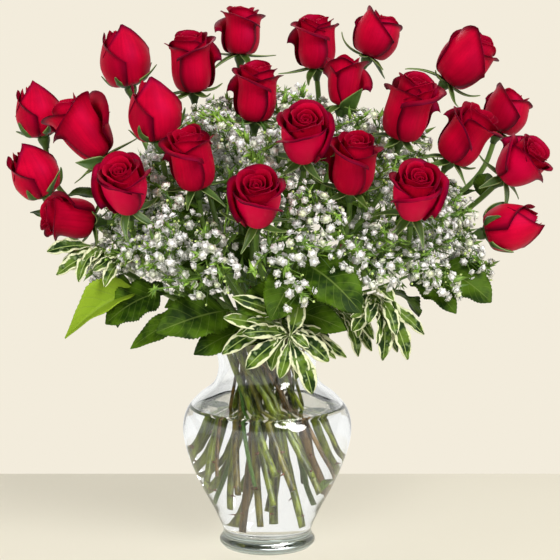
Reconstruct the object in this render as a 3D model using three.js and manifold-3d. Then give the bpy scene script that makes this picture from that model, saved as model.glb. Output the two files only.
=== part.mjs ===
// Two dozen cut red roses with baby's breath, lemon leaf and variegated pittosporum, in a clear glass vase.
// Millimetres, +Z up. The origin is the centre of the vase's foot, and the bouquet's face looks along -Y.
import * as THREE from 'three';
import { mergeVertices } from 'three/addons/utils/BufferGeometryUtils.js';
import Module from 'manifold-3d';

const wasm = await Module();
wasm.setup();

// ---- Driving dimensions ----

// The vase: a ginger-jar body on a round foot, with a short neck and a flared rim. Pairs are [radius, height].
const VASE_OUTLINE = [
  [43, 0], [46.5, 5], [42.5, 13], [50, 33], [63, 58], [75, 86],
  [81, 113], [77.6, 132], [66.5, 146], [51, 159], [46.5, 174], [48.5, 188], [55, 204],
];
const VASE_WALL = 3.2;
const VASE_FLOOR = 14;
const VASE_SIDES = 18;
const RIM_ROUND = [1, 1.4]; // the rounding of the rim, as [width, height]
const FLOOR_CORNER = [5, 3]; // the slope inside, between floor and wall, as [width, height]
const WATER_LEVEL = 136;
const GAP = 0.35; // between any two pieces that meet

// The stems: straight, and each leaning round the next, so that the sheaf is tightest in the neck.
const WAIST_HEIGHT = 165;
const WAIST_RADIUS = 33;
const SHEAF_LEAN = 48; // the height over which the sheaf would turn through 45 degrees
const LEAVES_VASE_AT = 205;
const STRAIGHT_AT_RIM = 8; // how far above and below the rim a stem is still straight
const ROSE_STEM_ENDS = [18, 30]; // between these heights, unless the wall stops a stem sooner
const SPRAY_STEM_END = 38;
const BREATH_STEM_END = 48;
const WALL_CLEARANCE = 3;
const ROSE_STEM_RADIUS = 3;
const FILLER_STEM_RADIUS = 1.8;
const STEM_SIDES = 5;
const STEM_STEPS = 6;
const FAN_HEIGHT = 420; // slots are given out by where the stems are heading at this height
const STEM_BEND = 48; // the last stretch of a rose stem, which turns to the bloom's own direction

// The roses. x, y and z are the middle of the bloom. It leans by `lean` degrees from upright, towards the
// compass angle `toward` (0 is +X, -90 is the front). `radius` and `height` are the bloom's own, and `bract` is
// the length of a leaf that stands in front of it.
const ROSES = [
  { x: -139, y: 50, z: 468, lean: 13, toward: 190, form: 'bud', radius: 24, height: 58 },
  { x: -71, y: 15, z: 464, lean: 15, toward: -100, form: 'cup', radius: 25, height: 56 },
  { x: -25, y: 70, z: 493, lean: 3, toward: 0, form: 'cup', radius: 23, height: 46 },
  { x: -10, y: -15, z: 437, lean: 14, toward: -80, form: 'cup', radius: 24, height: 54 },
  { x: -223, y: 45, z: 417, lean: 14, toward: 190, form: 'bud', radius: 21, height: 52 },
  { x: -174, y: 0, z: 403, lean: 34, toward: 186, form: 'cup', radius: 30, height: 66, bract: 44 },
  { x: -105, y: -35, z: 421, lean: 12, toward: 190, form: 'bud', radius: 24, height: 58 },
  { x: -222, y: 5, z: 361, lean: 30, toward: 186, form: 'bud', radius: 22, height: 52 },
  { x: -184, y: -40, z: 322, lean: 80, toward: 200, form: 'cup', radius: 23, height: 48 },
  { x: -128, y: -92, z: 356, lean: 42, toward: -100, form: 'open', radius: 25, height: 62 },
  { x: -68, y: -75, z: 379, lean: 22, toward: -115, form: 'cup', radius: 25, height: 56 },
  { x: -8, y: -133, z: 348, lean: 42, toward: -90, form: 'open', radius: 25, height: 60 },
  { x: 34, y: -113, z: 403, lean: 40, toward: -88, form: 'open', radius: 25, height: 60 },
  { x: 47, y: 60, z: 482, lean: 10, toward: -100, form: 'cup', radius: 24, height: 50 },
  { x: 74, y: 15, z: 447, lean: 8, toward: 0, form: 'bud', radius: 22, height: 50, bract: 38 },
  { x: 109, y: 95, z: 489, lean: 24, toward: 0, form: 'bud', radius: 23.5, height: 47 },
  { x: 131, y: -45, z: 424, lean: 24, toward: -55, form: 'cup', radius: 27, height: 61 },
  { x: 78, y: -90, z: 376, lean: 26, toward: -80, form: 'cup', radius: 25, height: 54 },
  { x: 133, y: -112, z: 352, lean: 42, toward: -82, form: 'open', radius: 25, height: 60 },
  { x: 192, y: 35, z: 467, lean: 42, toward: -12, form: 'bud', radius: 24.5, height: 60 },
  { x: 186, y: -25, z: 397, lean: 34, toward: -25, form: 'cup', radius: 26, height: 56 },
  { x: 234, y: 60, z: 416, lean: 24, toward: 0, form: 'bud', radius: 22.5, height: 45 },
  { x: 240, y: -5, z: 371, lean: 50, toward: -35, form: 'open', radius: 25, height: 52 },
  { x: 231, y: -15, z: 312, lean: 74, toward: -6, form: 'bud', radius: 22, height: 54 },
];

// A bloom is a rolled heart inside nested rows of petals. Each ring is [radius, height, petal row, cut], in
// shares of the bloom's radius and height, from the middle of its top, out over the rim of each row and down to
// its base. `cut` says how deep the notches between that row's petals reach.
const FORMS = {
  bud: {
    petals: 3,
    heart: 1,
    rings: [
      [0.22, 0.9, 0, 0], [0.31, 0.96, 1, 0.7], [0.39, 0.93, 1, 0.7], [0.5, 0.74, 0, 0],
      [0.64, 0.88, 2, 0.9], [0.74, 0.84, 2, 0.9], [0.99, 0.46, 2, 0.25], [0.7, 0.12, 0, 0],
    ],
  },
  cup: {
    petals: 4,
    heart: 0.9,
    rings: [
      [0.26, 0.7, 0, 0], [0.42, 0.97, 1, 0.5], [0.49, 0.95, 1, 0.5], [0.58, 0.62, 0, 0],
      [0.84, 1, 2, 0.5], [0.98, 0.92, 2, 0.5], [0.76, 0.66, 2, 0.2], [0.8, 0.26, 0, 0], [0.36, 0.03, 0, 0],
    ],
  },
  open: {
    petals: 4,
    heart: 0.9,
    rings: [
      [0.18, 0.68, 0, 0], [0.3, 0.94, 1, 0.5], [0.36, 0.93, 1, 0.5], [0.45, 0.64, 0, 0],
      [0.6, 0.97, 2, 0.6], [0.67, 0.95, 2, 0.6], [0.74, 0.6, 0, 0],
      [1.02, 0.86, 3, 0.8], [1.1, 0.8, 3, 0.8], [0.98, 0.5, 3, 0.2], [0.76, 0.18, 0, 0],
    ],
  },
};
const PETAL_ROWS = 4; // at most, the heart included
const COLUMNS_PER_PETAL = 4;
const NOTCH_DEPTH = 0.42; // of the bloom's height, where `cut` is 1
const PETAL_LAP = 0.05; // how far one side of a petal stands out over the next
const PETAL_UNEVENNESS = 0.16;
const BLOOM_SPREAD = 1.3; // the widest that an uneven petal reaches, in bloom radii
const CALYX_RADIUS = 5;
const CALYX_HEIGHT = 8;
const SEPAL_LENGTH = 27;
const SEPAL_DROOP = [3, 11];
const SEPAL_NOTCH = 1.5; // how far the calyx dips between two sepals
const BRACT_WIDTH = 15;
const BRACT_RISE = 0.7; // a bract's tip stands this share of its length above the calyx
const BRACT_CLEARANCE = 6; // and this far outside the bloom's widest petal

// The foliage sprays: the stem's points above the vase, then each leaf as [place on the stem, tip, width]. The
// place is a share of the stem's way from the rim to its end.
const LEMON_LEAF = [
  {
    name: 'lemon_leaf_left',
    stem: [[-34, -56, 238], [-84, -62, 254], [-124, -46, 262]],
    leaves: [
      [0.87, [-184, -78, 215], 34], [0.75, [-147, -76, 228], 38], [0.3, [-99, -104, 225], 46],
      [0.42, [-125, -70, 204], 24], [0.12, [-66, -88, 202], 32], [0.98, [-170, -14, 230], 34],
      [0.7, [-144, 12, 210], 36],
    ],
  },
  {
    name: 'lemon_leaf_right',
    stem: [[60, 0, 236], [104, -24, 254], [158, -30, 276]],
    leaves: [
      [1, [208, -50, 244], 44], [0.82, [174, -66, 236], 32], [0.9, [196, 26, 240], 40],
      [0.6, [146, 14, 220], 34], [0.2, [86, -64, 212], 30],
    ],
  },
  {
    name: 'lemon_leaf_front',
    stem: [[8, -60, 240], [22, -84, 262], [30, -100, 290]],
    leaves: [
      [0.92, [4, -134, 241], 40], [1, [84, -136, 248], 46], [0.62, [-26, -120, 246], 34],
      [0.25, [58, -88, 204], 34], [0.45, [72, -98, 226], 34],
    ],
  },
  {
    name: 'lemon_leaf_back',
    stem: [[-12, 56, 238], [0, 84, 254], [6, 110, 262]],
    leaves: [
      [0.82, [-66, 140, 226], 42], [0.7, [80, 134, 228], 42], [1, [6, 172, 226], 42],
      [0.5, [-104, 96, 216], 38], [0.35, [112, 92, 214], 38],
    ],
  },
];
const PITTOSPORUM = [
  {
    name: 'pittosporum_front',
    stem: [[8, -58, 226], [14, -84, 233], [21, -106, 221]],
    leaves: [
      [1, [30, -114, 257], 16], [0.96, [-21, -120, 227], 14], [0.9, [-38, -112, 240], 14],
      [0.97, [-18, -114, 194], 16], [0.99, [12, -118, 186], 12], [1, [41, -114, 171], 16],
      [0.92, [56, -106, 199], 17], [0.78, [-40, -102, 205], 15], [0.64, [50, -104, 211], 11],
    ],
  },
  {
    name: 'pittosporum_right',
    stem: [[54, -44, 232], [80, -70, 250], [98, -84, 257]],
    leaves: [
      [1, [77, -98, 225], 14], [0.97, [90, -112, 234], 12], [0.98, [105, -96, 198], 14],
      [1, [128, -92, 198], 15], [0.95, [143, -86, 220], 12], [1, [116, -112, 224], 13],
      [0.85, [120, -70, 201], 12], [0.6, [84, -72, 197], 11],
    ],
  },
  {
    name: 'pittosporum_left',
    stem: [[-58, -42, 250], [-112, -52, 278], [-156, -50, 296]],
    leaves: [
      [1, [-202, -54, 292], 14], [0.92, [-192, -68, 272], 14], [0.96, [-170, -84, 268], 13],
      [0.82, [-146, -88, 264], 13], [0.87, [-184, -26, 272], 13], [0.72, [-126, -88, 286], 13],
    ],
  },
];

// The baby's breath: sprays that each fill their own sector of a dome, with floret clusters at the twigs' ends.
const BREATH_SPRAYS = 3;
const CLUSTERS_PER_SPRAY = 12;
const DOME_CENTRE = new THREE.Vector3(20, -4, 258);
const DOME_RADII = new THREE.Vector3(190, 142, 180);
const DOME_FLOOR = 258;
const CROTCH_HEIGHT = 266; // where the first twigs leave the stem
const FORK_BACK = 0.5; // a twig leaves its parent this share of its own length before the nearest point
const CLUSTER_RADIUS = [16, 25];
const BALL_SHARE = 0.62; // of a cluster's radius
const TWIG_RADIUS = 1.1;
const TWIG_TAPER = 0.6;
const SECTOR_FILL = 0.94;
const HEADING = [60, 300]; // how far out, and how high, a spray's stem heads when it leaves the vase
const MOST_DRAWS = 8000;
const FIRST_DRAW = 20417; // the seed of every random draw

// ---- Colours ----

const finish = (color, roughness) => new THREE.MeshStandardMaterial({ color, roughness, metalness: 0 });
const clear = (color, opacity) =>
  new THREE.MeshStandardMaterial({ color, roughness: 0.03, metalness: 0, transparent: true, opacity });

// ---- Helpers ----

const LARGEST_SCRAP = 5;
const UP = new THREE.Vector3(0, 0, 1);
const FRONT = new THREE.Vector3(0, -1, 0);
const vec = ([x, y, z]) => new THREE.Vector3(x, y, z);
const { degToRad, lerp, clamp } = THREE.MathUtils;

// A small seeded generator of numbers from 0 to 1.
function makeDraw(seed) {
  let state = seed;
  return () => {
    state = (state * 1664525 + 1013904223) % 4294967296;
    return state / 4294967296;
  };
}

// A closed geometry as a solid with its faces turned out.
function solidOf(geometry) {
  const bare = geometry.index ? geometry.toNonIndexed() : geometry.clone();
  bare.deleteAttribute('normal');
  bare.deleteAttribute('uv');
  const merged = mergeVertices(bare, 1e-4);
  const triVerts = new Uint32Array(merged.index.array);
  const vertProperties = merged.attributes.position.array;
  const solid = new wasm.Manifold(new wasm.Mesh({ numProp: 3, vertProperties, triVerts }));
  if (solid.volume() > 0) return solid;
  for (let i = 0; i < triVerts.length; i += 3) {
    [triVerts[i + 1], triVerts[i + 2]] = [triVerts[i + 2], triVerts[i + 1]];
  }
  return new wasm.Manifold(new wasm.Mesh({ numProp: 3, vertProperties, triVerts }));
}

// Solids joined into one body. A loose scrap of a few cubic millimetres is dropped, and more stops the build.
function fuse(solids) {
  const joined = solids.reduce((sum, next) => sum.add(next));
  const bodies = joined.decompose().sort((a, b) => b.volume() - a.volume());
  const isLoose = bodies.slice(1).some((scrap) => scrap.volume() > LARGEST_SCRAP);
  if (isLoose) throw new Error('a part of a spray is not attached');
  return bodies[0];
}

function meshOf(name, solid, material) {
  const made = solid.getMesh();
  const positions = new Float32Array(made.numVert * 3);
  for (let i = 0; i < made.numVert; i++) {
    positions.set(made.vertProperties.subarray(i * made.numProp, i * made.numProp + 3), i * 3);
  }
  const geometry = new THREE.BufferGeometry();
  geometry.setAttribute('position', new THREE.BufferAttribute(positions, 3));
  geometry.setIndex(new THREE.BufferAttribute(made.triVerts, 1));
  geometry.computeVertexNormals();
  const mesh = new THREE.Mesh(geometry, material);
  mesh.name = name;
  return mesh;
}

function indexedSolid(positions, index) {
  const geometry = new THREE.BufferGeometry();
  geometry.setAttribute('position', new THREE.Float32BufferAttribute(positions, 3));
  geometry.setIndex(index);
  return solidOf(geometry);
}

// A closed body from rings of points, one after the other, with a pole at each end.
function ringsBody(rings, firstPole, lastPole) {
  const count = rings[0].length;
  const positions = [firstPole, ...rings.flat(), lastPole].flatMap((p) => p.toArray());
  const index = [];
  const at = (ring, i) => 1 + ring * count + (i % count);
  const last = 1 + rings.length * count;
  for (let i = 0; i < count; i++) {
    index.push(0, at(0, i + 1), at(0, i));
    for (let ring = 0; ring + 1 < rings.length; ring++) {
      index.push(at(ring, i), at(ring, i + 1), at(ring + 1, i + 1));
      index.push(at(ring, i), at(ring + 1, i + 1), at(ring + 1, i));
    }
    index.push(last, at(rings.length - 1, i), at(rings.length - 1, i + 1));
  }
  return indexedSolid(positions, index);
}

// A thin closed blade over a grid of points on its middle surface, row by row. `face` is the direction through
// its thickness. Both faces are split into triangles alike.
function blade(grid, thickness, face) {
  const positions = [0.5, -0.5].flatMap((side) =>
    grid.flat().flatMap((point) => point.clone().addScaledVector(face, side * thickness).toArray()),
  );
  const [rows, columns] = [grid.length - 1, grid[0].length - 1];
  const across = columns + 1;
  const back = across * (rows + 1);
  const index = [];
  for (let j = 0; j < rows; j++) {
    for (let i = 0; i < columns; i++) {
      const a = j * across + i;
      const [b, c, d] = [a + 1, a + across + 1, a + across];
      index.push(a, b, c, a, c, d);
      index.push(back + a, back + c, back + b, back + a, back + d, back + c);
    }
  }
  const wall = (a, b) => index.push(a, back + a, back + b, a, back + b, b);
  for (let i = 0; i < columns; i++) {
    wall(i, i + 1);
    wall(rows * across + i + 1, rows * across + i);
  }
  for (let j = 0; j < rows; j++) {
    wall((j + 1) * across, j * across);
    wall(j * across + columns, (j + 1) * across + columns);
  }
  return indexedSolid(positions, index);
}

function tube(points, radius, steps) {
  const circle = Array.from({ length: STEM_SIDES }, (_, i) => {
    const angle = (2 * Math.PI * i) / STEM_SIDES;
    return new THREE.Vector2(radius * Math.cos(angle), radius * Math.sin(angle));
  });
  const extrudePath = points.length > 2 ? new THREE.CatmullRomCurve3(points) : new THREE.LineCurve3(...points);
  const section = new THREE.Shape(circle);
  return solidOf(new THREE.ExtrudeGeometry(section, { steps, bevelEnabled: false, extrudePath }));
}

// A solid made round the origin along +Z, carried to a place and turned along a direction.
function placed(solid, place, direction) {
  const turn = new THREE.Quaternion().setFromUnitVectors(UP, direction);
  return solid.transform(new THREE.Matrix4().compose(place, turn, new THREE.Vector3(1, 1, 1)).toArray());
}

// ---- Room: what is already there, kept as capsules, so that twigs and florets are placed clear of it ----

const taken = [];
const take = (from, to, radius) => taken.push({ from, to, radius });
const takePath = (points, radius) => points.slice(1).forEach((point, i) => take(points[i], point, radius));

function segmentDistance(a, b, c, d) {
  const ab = b.clone().sub(a);
  const cd = d.clone().sub(c);
  const ac = a.clone().sub(c);
  const [e, f, g] = [ab.lengthSq(), cd.lengthSq(), ab.dot(cd)];
  const [h, k] = [ab.dot(ac), cd.dot(ac)];
  const spread = e * f - g * g;
  let s = spread > 1e-9 ? clamp((g * k - h * f) / spread, 0, 1) : 0;
  const t = clamp(f > 0 ? (g * s + k) / f : 0, 0, 1);
  s = clamp(e > 0 ? (g * t - h) / e : 0, 0, 1);
  return a.clone().addScaledVector(ab, s).distanceTo(c.clone().addScaledVector(cd, t));
}

const isClear = (from, to, radius, capsules) =>
  capsules.every((it) => segmentDistance(from, to, it.from, it.to) > radius + it.radius + GAP);

// ---- The vase and its water ----

function innerRadius(height) {
  const above = Math.max(1, VASE_OUTLINE.findIndex(([, z]) => z >= height));
  const [[r0, z0], [r1, z1]] = [VASE_OUTLINE[above - 1], VASE_OUTLINE[above]];
  return lerp(r0, r1, (height - z0) / (z1 - z0)) - VASE_WALL;
}

function lathe(profile) {
  const points = profile.map(([r, z]) => new THREE.Vector2(r, z));
  return solidOf(new THREE.LatheGeometry(points, VASE_SIDES).rotateX(Math.PI / 2));
}

// The inside of the glass from the floor up to a height, drawn in by a gap.
function insideProfile(height, gap) {
  const [width, rise] = FLOOR_CORNER;
  const floor = VASE_FLOOR + gap;
  const corner = innerRadius(VASE_FLOOR + rise) - gap;
  const inWall = VASE_OUTLINE.filter(([, z]) => z > floor + rise && z < height);
  const wall = inWall.map(([r, z]) => [r - VASE_WALL - gap, z]);
  return [[0, floor], [corner - width, floor], [corner, floor + rise], ...wall];
}

function makeVase() {
  const [rim, top] = VASE_OUTLINE.at(-1);
  const lip = [[rim - RIM_ROUND[0], top + RIM_ROUND[1]], [rim - VASE_WALL, top]];
  return lathe([[0, 0], ...VASE_OUTLINE, ...lip, ...insideProfile(top, 0).reverse()]);
}

function makeWater(holes) {
  const edge = innerRadius(WATER_LEVEL) - GAP;
  const body = lathe([...insideProfile(WATER_LEVEL, GAP), [edge, WATER_LEVEL], [0, WATER_LEVEL]]);
  return holes.reduce((left, hole) => left.subtract(hole), body);
}

// ---- The sheaf: every stem has its own slot in the neck, and no two cross ----

const slotCount = ROSES.length + LEMON_LEAF.length + PITTOSPORUM.length + BREATH_SPRAYS;
const slots = Array.from({ length: slotCount }, (_, k) => {
  const radius = WAIST_RADIUS * Math.sqrt((k + 0.5) / slotCount);
  const angle = k * Math.PI * (3 - Math.sqrt(5));
  return new THREE.Vector2(radius * Math.cos(angle), radius * Math.sin(angle));
});

// Where the straight stem in a slot is at a height.
function inSheaf(slot, height) {
  const lean = (WAIST_HEIGHT - height) / SHEAF_LEAN;
  return new THREE.Vector3(slot.x - lean * slot.y, slot.y + lean * slot.x, height);
}

// Where a stem that leaves the neck for this point is heading at the fan's height.
function fanPoint(target) {
  const reach = (FAN_HEIGHT - LEAVES_VASE_AT) / (target.z - LEAVES_VASE_AT);
  return new THREE.Vector3(target.x * reach, target.y * reach, FAN_HEIGHT);
}

// Gives each stem the slot that keeps the stems in the order of the points that they lead to.
function assignSlots(targets) {
  const fan = targets.map(fanPoint);
  const chosen = targets.map((_, i) => i);
  const cost = (stem, slot) => fan[stem].distanceToSquared(inSheaf(slots[slot], FAN_HEIGHT));
  for (let swapped = true; swapped; ) {
    swapped = false;
    for (let i = 0; i < chosen.length; i++) {
      for (let j = i + 1; j < chosen.length; j++) {
        const now = cost(i, chosen[i]) + cost(j, chosen[j]);
        if (cost(i, chosen[j]) + cost(j, chosen[i]) >= now - 1e-6) continue;
        [chosen[i], chosen[j]] = [chosen[j], chosen[i]];
        swapped = true;
      }
    }
  }
  return chosen.map((slot) => slots[slot]);
}

// The straight stretch of a stem, from its cut end, which is just off the floor or where it meets the wall.
function straightStretch(slot, radius, lowest) {
  const reachAt = (height) => slot.length() * Math.hypot(1, (WAIST_HEIGHT - height) / SHEAF_LEAN);
  let end = lowest;
  while (reachAt(end) > innerRadius(end) - radius - WALL_CLEARANCE) end += 1;
  const atRim = [LEAVES_VASE_AT - STRAIGHT_AT_RIM, LEAVES_VASE_AT + STRAIGHT_AT_RIM];
  return [end, lerp(end, WAIST_HEIGHT, 0.5), WAIST_HEIGHT, ...atRim].map((height) => inSheaf(slot, height));
}

// The hole in the water that a stem stands in: a little wider, and a little longer at the cut end.
function holeFor([end, , waist], radius) {
  const deeper = end.clone().sub(waist).setLength(1).add(end);
  return tube([deeper, waist], radius + GAP / Math.cos(Math.PI / STEM_SIDES), 1);
}

// The corners of a tube's middle line, which are evenly spaced along its curve.
const cornersOf = (path, steps) => new THREE.CatmullRomCurve3(path).getSpacedPoints(steps);

// ---- Roses ----

function axisOf({ lean, toward }) {
  const out = new THREE.Vector3(Math.cos(degToRad(toward)), Math.sin(degToRad(toward)), 0);
  return out.multiplyScalar(Math.sin(degToRad(lean))).setZ(Math.cos(degToRad(lean)));
}

// The point under the bloom where the stem ends, and the one below it where the stem starts to turn.
const middleOf = ({ x, y, z }) => new THREE.Vector3(x, y, z);
const neckOf = (rose) => middleOf(rose).addScaledVector(axisOf(rose), -rose.height / 2);
const bendOf = (rose) => neckOf(rose).addScaledVector(axisOf(rose), -STEM_BEND);

function makeBloom(rose, draw) {
  const { petals, heart, rings } = FORMS[rose.form];
  const columns = petals * COLUMNS_PER_PETAL;
  const spin = draw() * 2 * Math.PI;
  const flares = Array.from({ length: petals * PETAL_ROWS }, () => draw() - 0.4); // most petals lean out
  const points = rings.map(([radius, height, row, cut]) =>
    Array.from({ length: columns }, (_, column) => {
      const along = column / COLUMNS_PER_PETAL + row / 2;
      const u = 2 * (along % 1) - 1;
      const petal = row * petals + (Math.floor(along) % petals);
      const flare = row ? flares[petal] * cut * PETAL_UNEVENNESS * (1 - u * u) : 0;
      const lap = row ? PETAL_LAP * u : 0;
      const reach = rose.radius * (radius + flare + lap * radius);
      const rise = rose.height * (height - cut * NOTCH_DEPTH * Math.abs(u) ** 3 * height);
      const angle = spin + (2 * Math.PI * column) / columns;
      return new THREE.Vector3(reach * Math.cos(angle), reach * Math.sin(angle), rise);
    }),
  );
  const body = ringsBody(points, new THREE.Vector3(0, 0, rose.height * heart), new THREE.Vector3(0, 0, 0));
  return placed(body, neckOf(rose), axisOf(rose));
}

// The green cup under a bloom, drawn out into five long pointed sepals.
function calyx(draw) {
  const spin = draw() * 2 * Math.PI;
  const star = Array.from({ length: 10 }, (_, i) => {
    const angle = spin + (i * Math.PI) / 5;
    const [reach, drop] = i % 2 ? [CALYX_RADIUS, SEPAL_NOTCH] : [SEPAL_LENGTH, lerp(...SEPAL_DROOP, draw())];
    return new THREE.Vector3(reach * Math.cos(angle), reach * Math.sin(angle), -drop);
  });
  return ringsBody([star], new THREE.Vector3(0, 0, -CALYX_HEIGHT), new THREE.Vector3(0, 0, 0));
}

// The leaf that stands in front of a bloom, from beside its calyx.
function bract(rose) {
  const axis = axisOf(rose);
  const out = FRONT.clone().addScaledVector(axis, -FRONT.dot(axis)).normalize();
  const base = neckOf(rose).addScaledVector(axis, -CALYX_HEIGHT * 0.75);
  const tip = neckOf(rose).addScaledVector(axis, rose.bract * BRACT_RISE);
  tip.addScaledVector(out, rose.radius * BLOOM_SPREAD + BRACT_CLEARANCE);
  return leaf(base, tip, BRACT_WIDTH, PITTOSPORUM_BLADE, out);
}

function makeRoseStem(rose, slot, draw) {
  const axis = axisOf(rose);
  const foot = neckOf(rose).addScaledVector(axis, -GAP);
  const low = straightStretch(slot, ROSE_STEM_RADIUS, lerp(...ROSE_STEM_ENDS, draw()));
  const path = [...low, bendOf(rose), foot.clone().addScaledVector(axis, -CALYX_HEIGHT / 2)];
  const parts = [tube(path, ROSE_STEM_RADIUS, STEM_STEPS), placed(calyx(draw), foot, axis)];
  if (rose.bract) parts.push(bract(rose));
  takePath(cornersOf(path, STEM_STEPS), ROSE_STEM_RADIUS);
  const widest = Math.max(rose.radius * BLOOM_SPREAD, SEPAL_LENGTH + GAP);
  take(foot, foot.clone().addScaledVector(axis, rose.height), widest);
  return { solid: fuse(parts), hole: holeFor(low, ROSE_STEM_RADIUS) };
}

// ---- Leaves ----

// A leaf's outline is [place along it, half width's share] from stalk to tip: an oval with teeth, or a spoon.
const LEMON_BLADE = {
  outline: [[0, 0.03], [0.15, 0.09], [0.3, 0.8], [0.45, 1], [0.58, 0.76], [0.72, 0.84], [1, 0.04]],
  across: [-1, 0, 1],
  thickness: 1,
  fold: 0.24,
  arch: 0.1,
  wave: 0,
};
const PITTOSPORUM_BLADE = {
  outline: [[0, 0.08], [0.22, 0.3], [0.55, 1], [0.85, 0.84], [1, 0.2]],
  across: [-1, 1],
  thickness: 0.9,
  fold: 0,
  arch: 0.1,
  wave: 1.6,
};

// How much a leaf faces away from the vase's axis, up, and towards the nearer of the front and the back.
const FACING = { out: 0.5, up: 0.5, front: 0.8, within: 40 };
const LEAF_ROOM = 0.5; // the radius round a leaf's middle line that is kept clear, in widths
const LAST_PLACE = 0.998; // a leaf at the end of a stem starts just inside it

// A leaf from its base to its tip: folded a little along its midrib, arched towards its face, and waved.
function leaf(base, tip, width, { outline, across, thickness, fold, arch, wave }, facing) {
  const along = tip.clone().sub(base);
  const side = along.clone().cross(facing).normalize();
  const face = side.clone().cross(along).normalize();
  const grid = outline.map(([v, share]) =>
    across.map((u) => {
      const half = (width / 2) * share;
      const bow = arch * along.length() * Math.sin(Math.PI * v);
      const lift = bow + fold * half * Math.abs(u) + wave * u * Math.cos(9 * v);
      return base.clone().addScaledVector(along, v).addScaledVector(side, u * half).addScaledVector(face, lift);
    }),
  );
  return blade(grid, thickness, face);
}

// A leafy stem. Each leaf grows from a place on the stem above the rim.
function makeSpray({ stem, leaves }, slot, form) {
  const low = straightStretch(slot, FILLER_STEM_RADIUS, SPRAY_STEM_END);
  const path = [...low, ...stem.map(vec)];
  const corners = cornersOf(path, STEM_STEPS);
  const line = new THREE.CurvePath();
  corners.slice(1).forEach((corner, i) => line.add(new THREE.LineCurve3(corners[i], corner)));
  const rim = corners.findIndex(({ z }) => z > LEAVES_VASE_AT) / STEM_STEPS;
  const parts = [tube(path, FILLER_STEM_RADIUS, STEM_STEPS)];
  for (const [place, tipAt, width] of leaves) {
    const base = line.getPointAt(lerp(rim, 1, place) * LAST_PLACE);
    const tip = vec(tipAt);
    const facing = base.clone().lerp(tip, 0.5).setZ(0).normalize().multiplyScalar(FACING.out);
    facing.add(new THREE.Vector3(0, FACING.front * clamp(tip.y / FACING.within, -1, 1), FACING.up));
    parts.push(leaf(base, tip, width, form, facing));
    take(base, tip, width * LEAF_ROOM);
  }
  takePath(corners, FILLER_STEM_RADIUS);
  return { solid: fuse(parts), hole: holeFor(low, FILLER_STEM_RADIUS) };
}

// ---- Baby's breath ----

// A tight cluster of florets: a ball with eight points standing out of it. The twig comes in from `below`.
function floretCluster(centre, radius, spin, below) {
  const ball = new THREE.OctahedronGeometry(radius * BALL_SHARE).attributes.position;
  const corner = (i) => new THREE.Vector3().fromBufferAttribute(ball, i);
  const facets = [];
  for (let i = 0; i < ball.count; i += 3) {
    const [a, b, c] = [corner(i), corner(i + 1), corner(i + 2)];
    const point = a.clone().add(b).add(c).setLength(radius);
    facets.push([a, b, point], [b, c, point], [c, a, point]);
  }
  const [a, b, point] = facets[0];
  const way = a.clone().add(b).add(point).normalize();
  const geometry = new THREE.BufferGeometry().setFromPoints(facets.flat());
  geometry.applyQuaternion(new THREE.Quaternion().setFromUnitVectors(way, below));
  geometry.applyQuaternion(new THREE.Quaternion().setFromAxisAngle(below, spin));
  return solidOf(geometry.translate(centre.x, centre.y, centre.z));
}

// A straight twig of three sides, thinner where it leaves its branch.
function twig(root, end) {
  const way = end.clone().sub(root);
  const ring = (radius, height) =>
    Array.from({ length: 3 }, (_, i) => {
      const angle = (2 * Math.PI * i) / 3;
      return new THREE.Vector3(radius * Math.cos(angle), radius * Math.sin(angle), height);
    });
  const length = way.length();
  const rings = [ring(TWIG_RADIUS * TWIG_TAPER, 0), ring(TWIG_RADIUS, length)];
  const body = ringsBody(rings, new THREE.Vector3(0, 0, -0.1), new THREE.Vector3(0, 0, length + 0.5));
  return placed(body, root, way.normalize());
}

// The middle of a spray's sector, and the point that its stem heads for when it leaves the vase.
const sectorOf = (spray) => ((spray + 0.5) * 2 * Math.PI) / BREATH_SPRAYS - Math.PI;
const headingOf = (spray) => new THREE.Vector3(HEADING[0], 0, HEADING[1]).applyAxisAngle(UP, sectorOf(spray));

function makeBreathStem(slot) {
  const low = straightStretch(slot, FILLER_STEM_RADIUS, BREATH_STEM_END);
  const points = [low[0], low.at(-1), inSheaf(slot, CROTCH_HEIGHT)];
  takePath(points, FILLER_STEM_RADIUS);
  return { low, top: taken.at(-1) };
}

// Where a twig that leads to a point leaves a branch: a little before the branch's nearest point to it.
function forkOn({ from, to }, end) {
  const branch = new THREE.Line3(from, to);
  const nearest = branch.closestPointToPointParameter(end, true);
  const away = branch.at(nearest, new THREE.Vector3()).distanceTo(end);
  return branch.at(clamp(nearest - (FORK_BACK * away) / branch.distance(), 0.12, 0.7), new THREE.Vector3());
}

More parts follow.
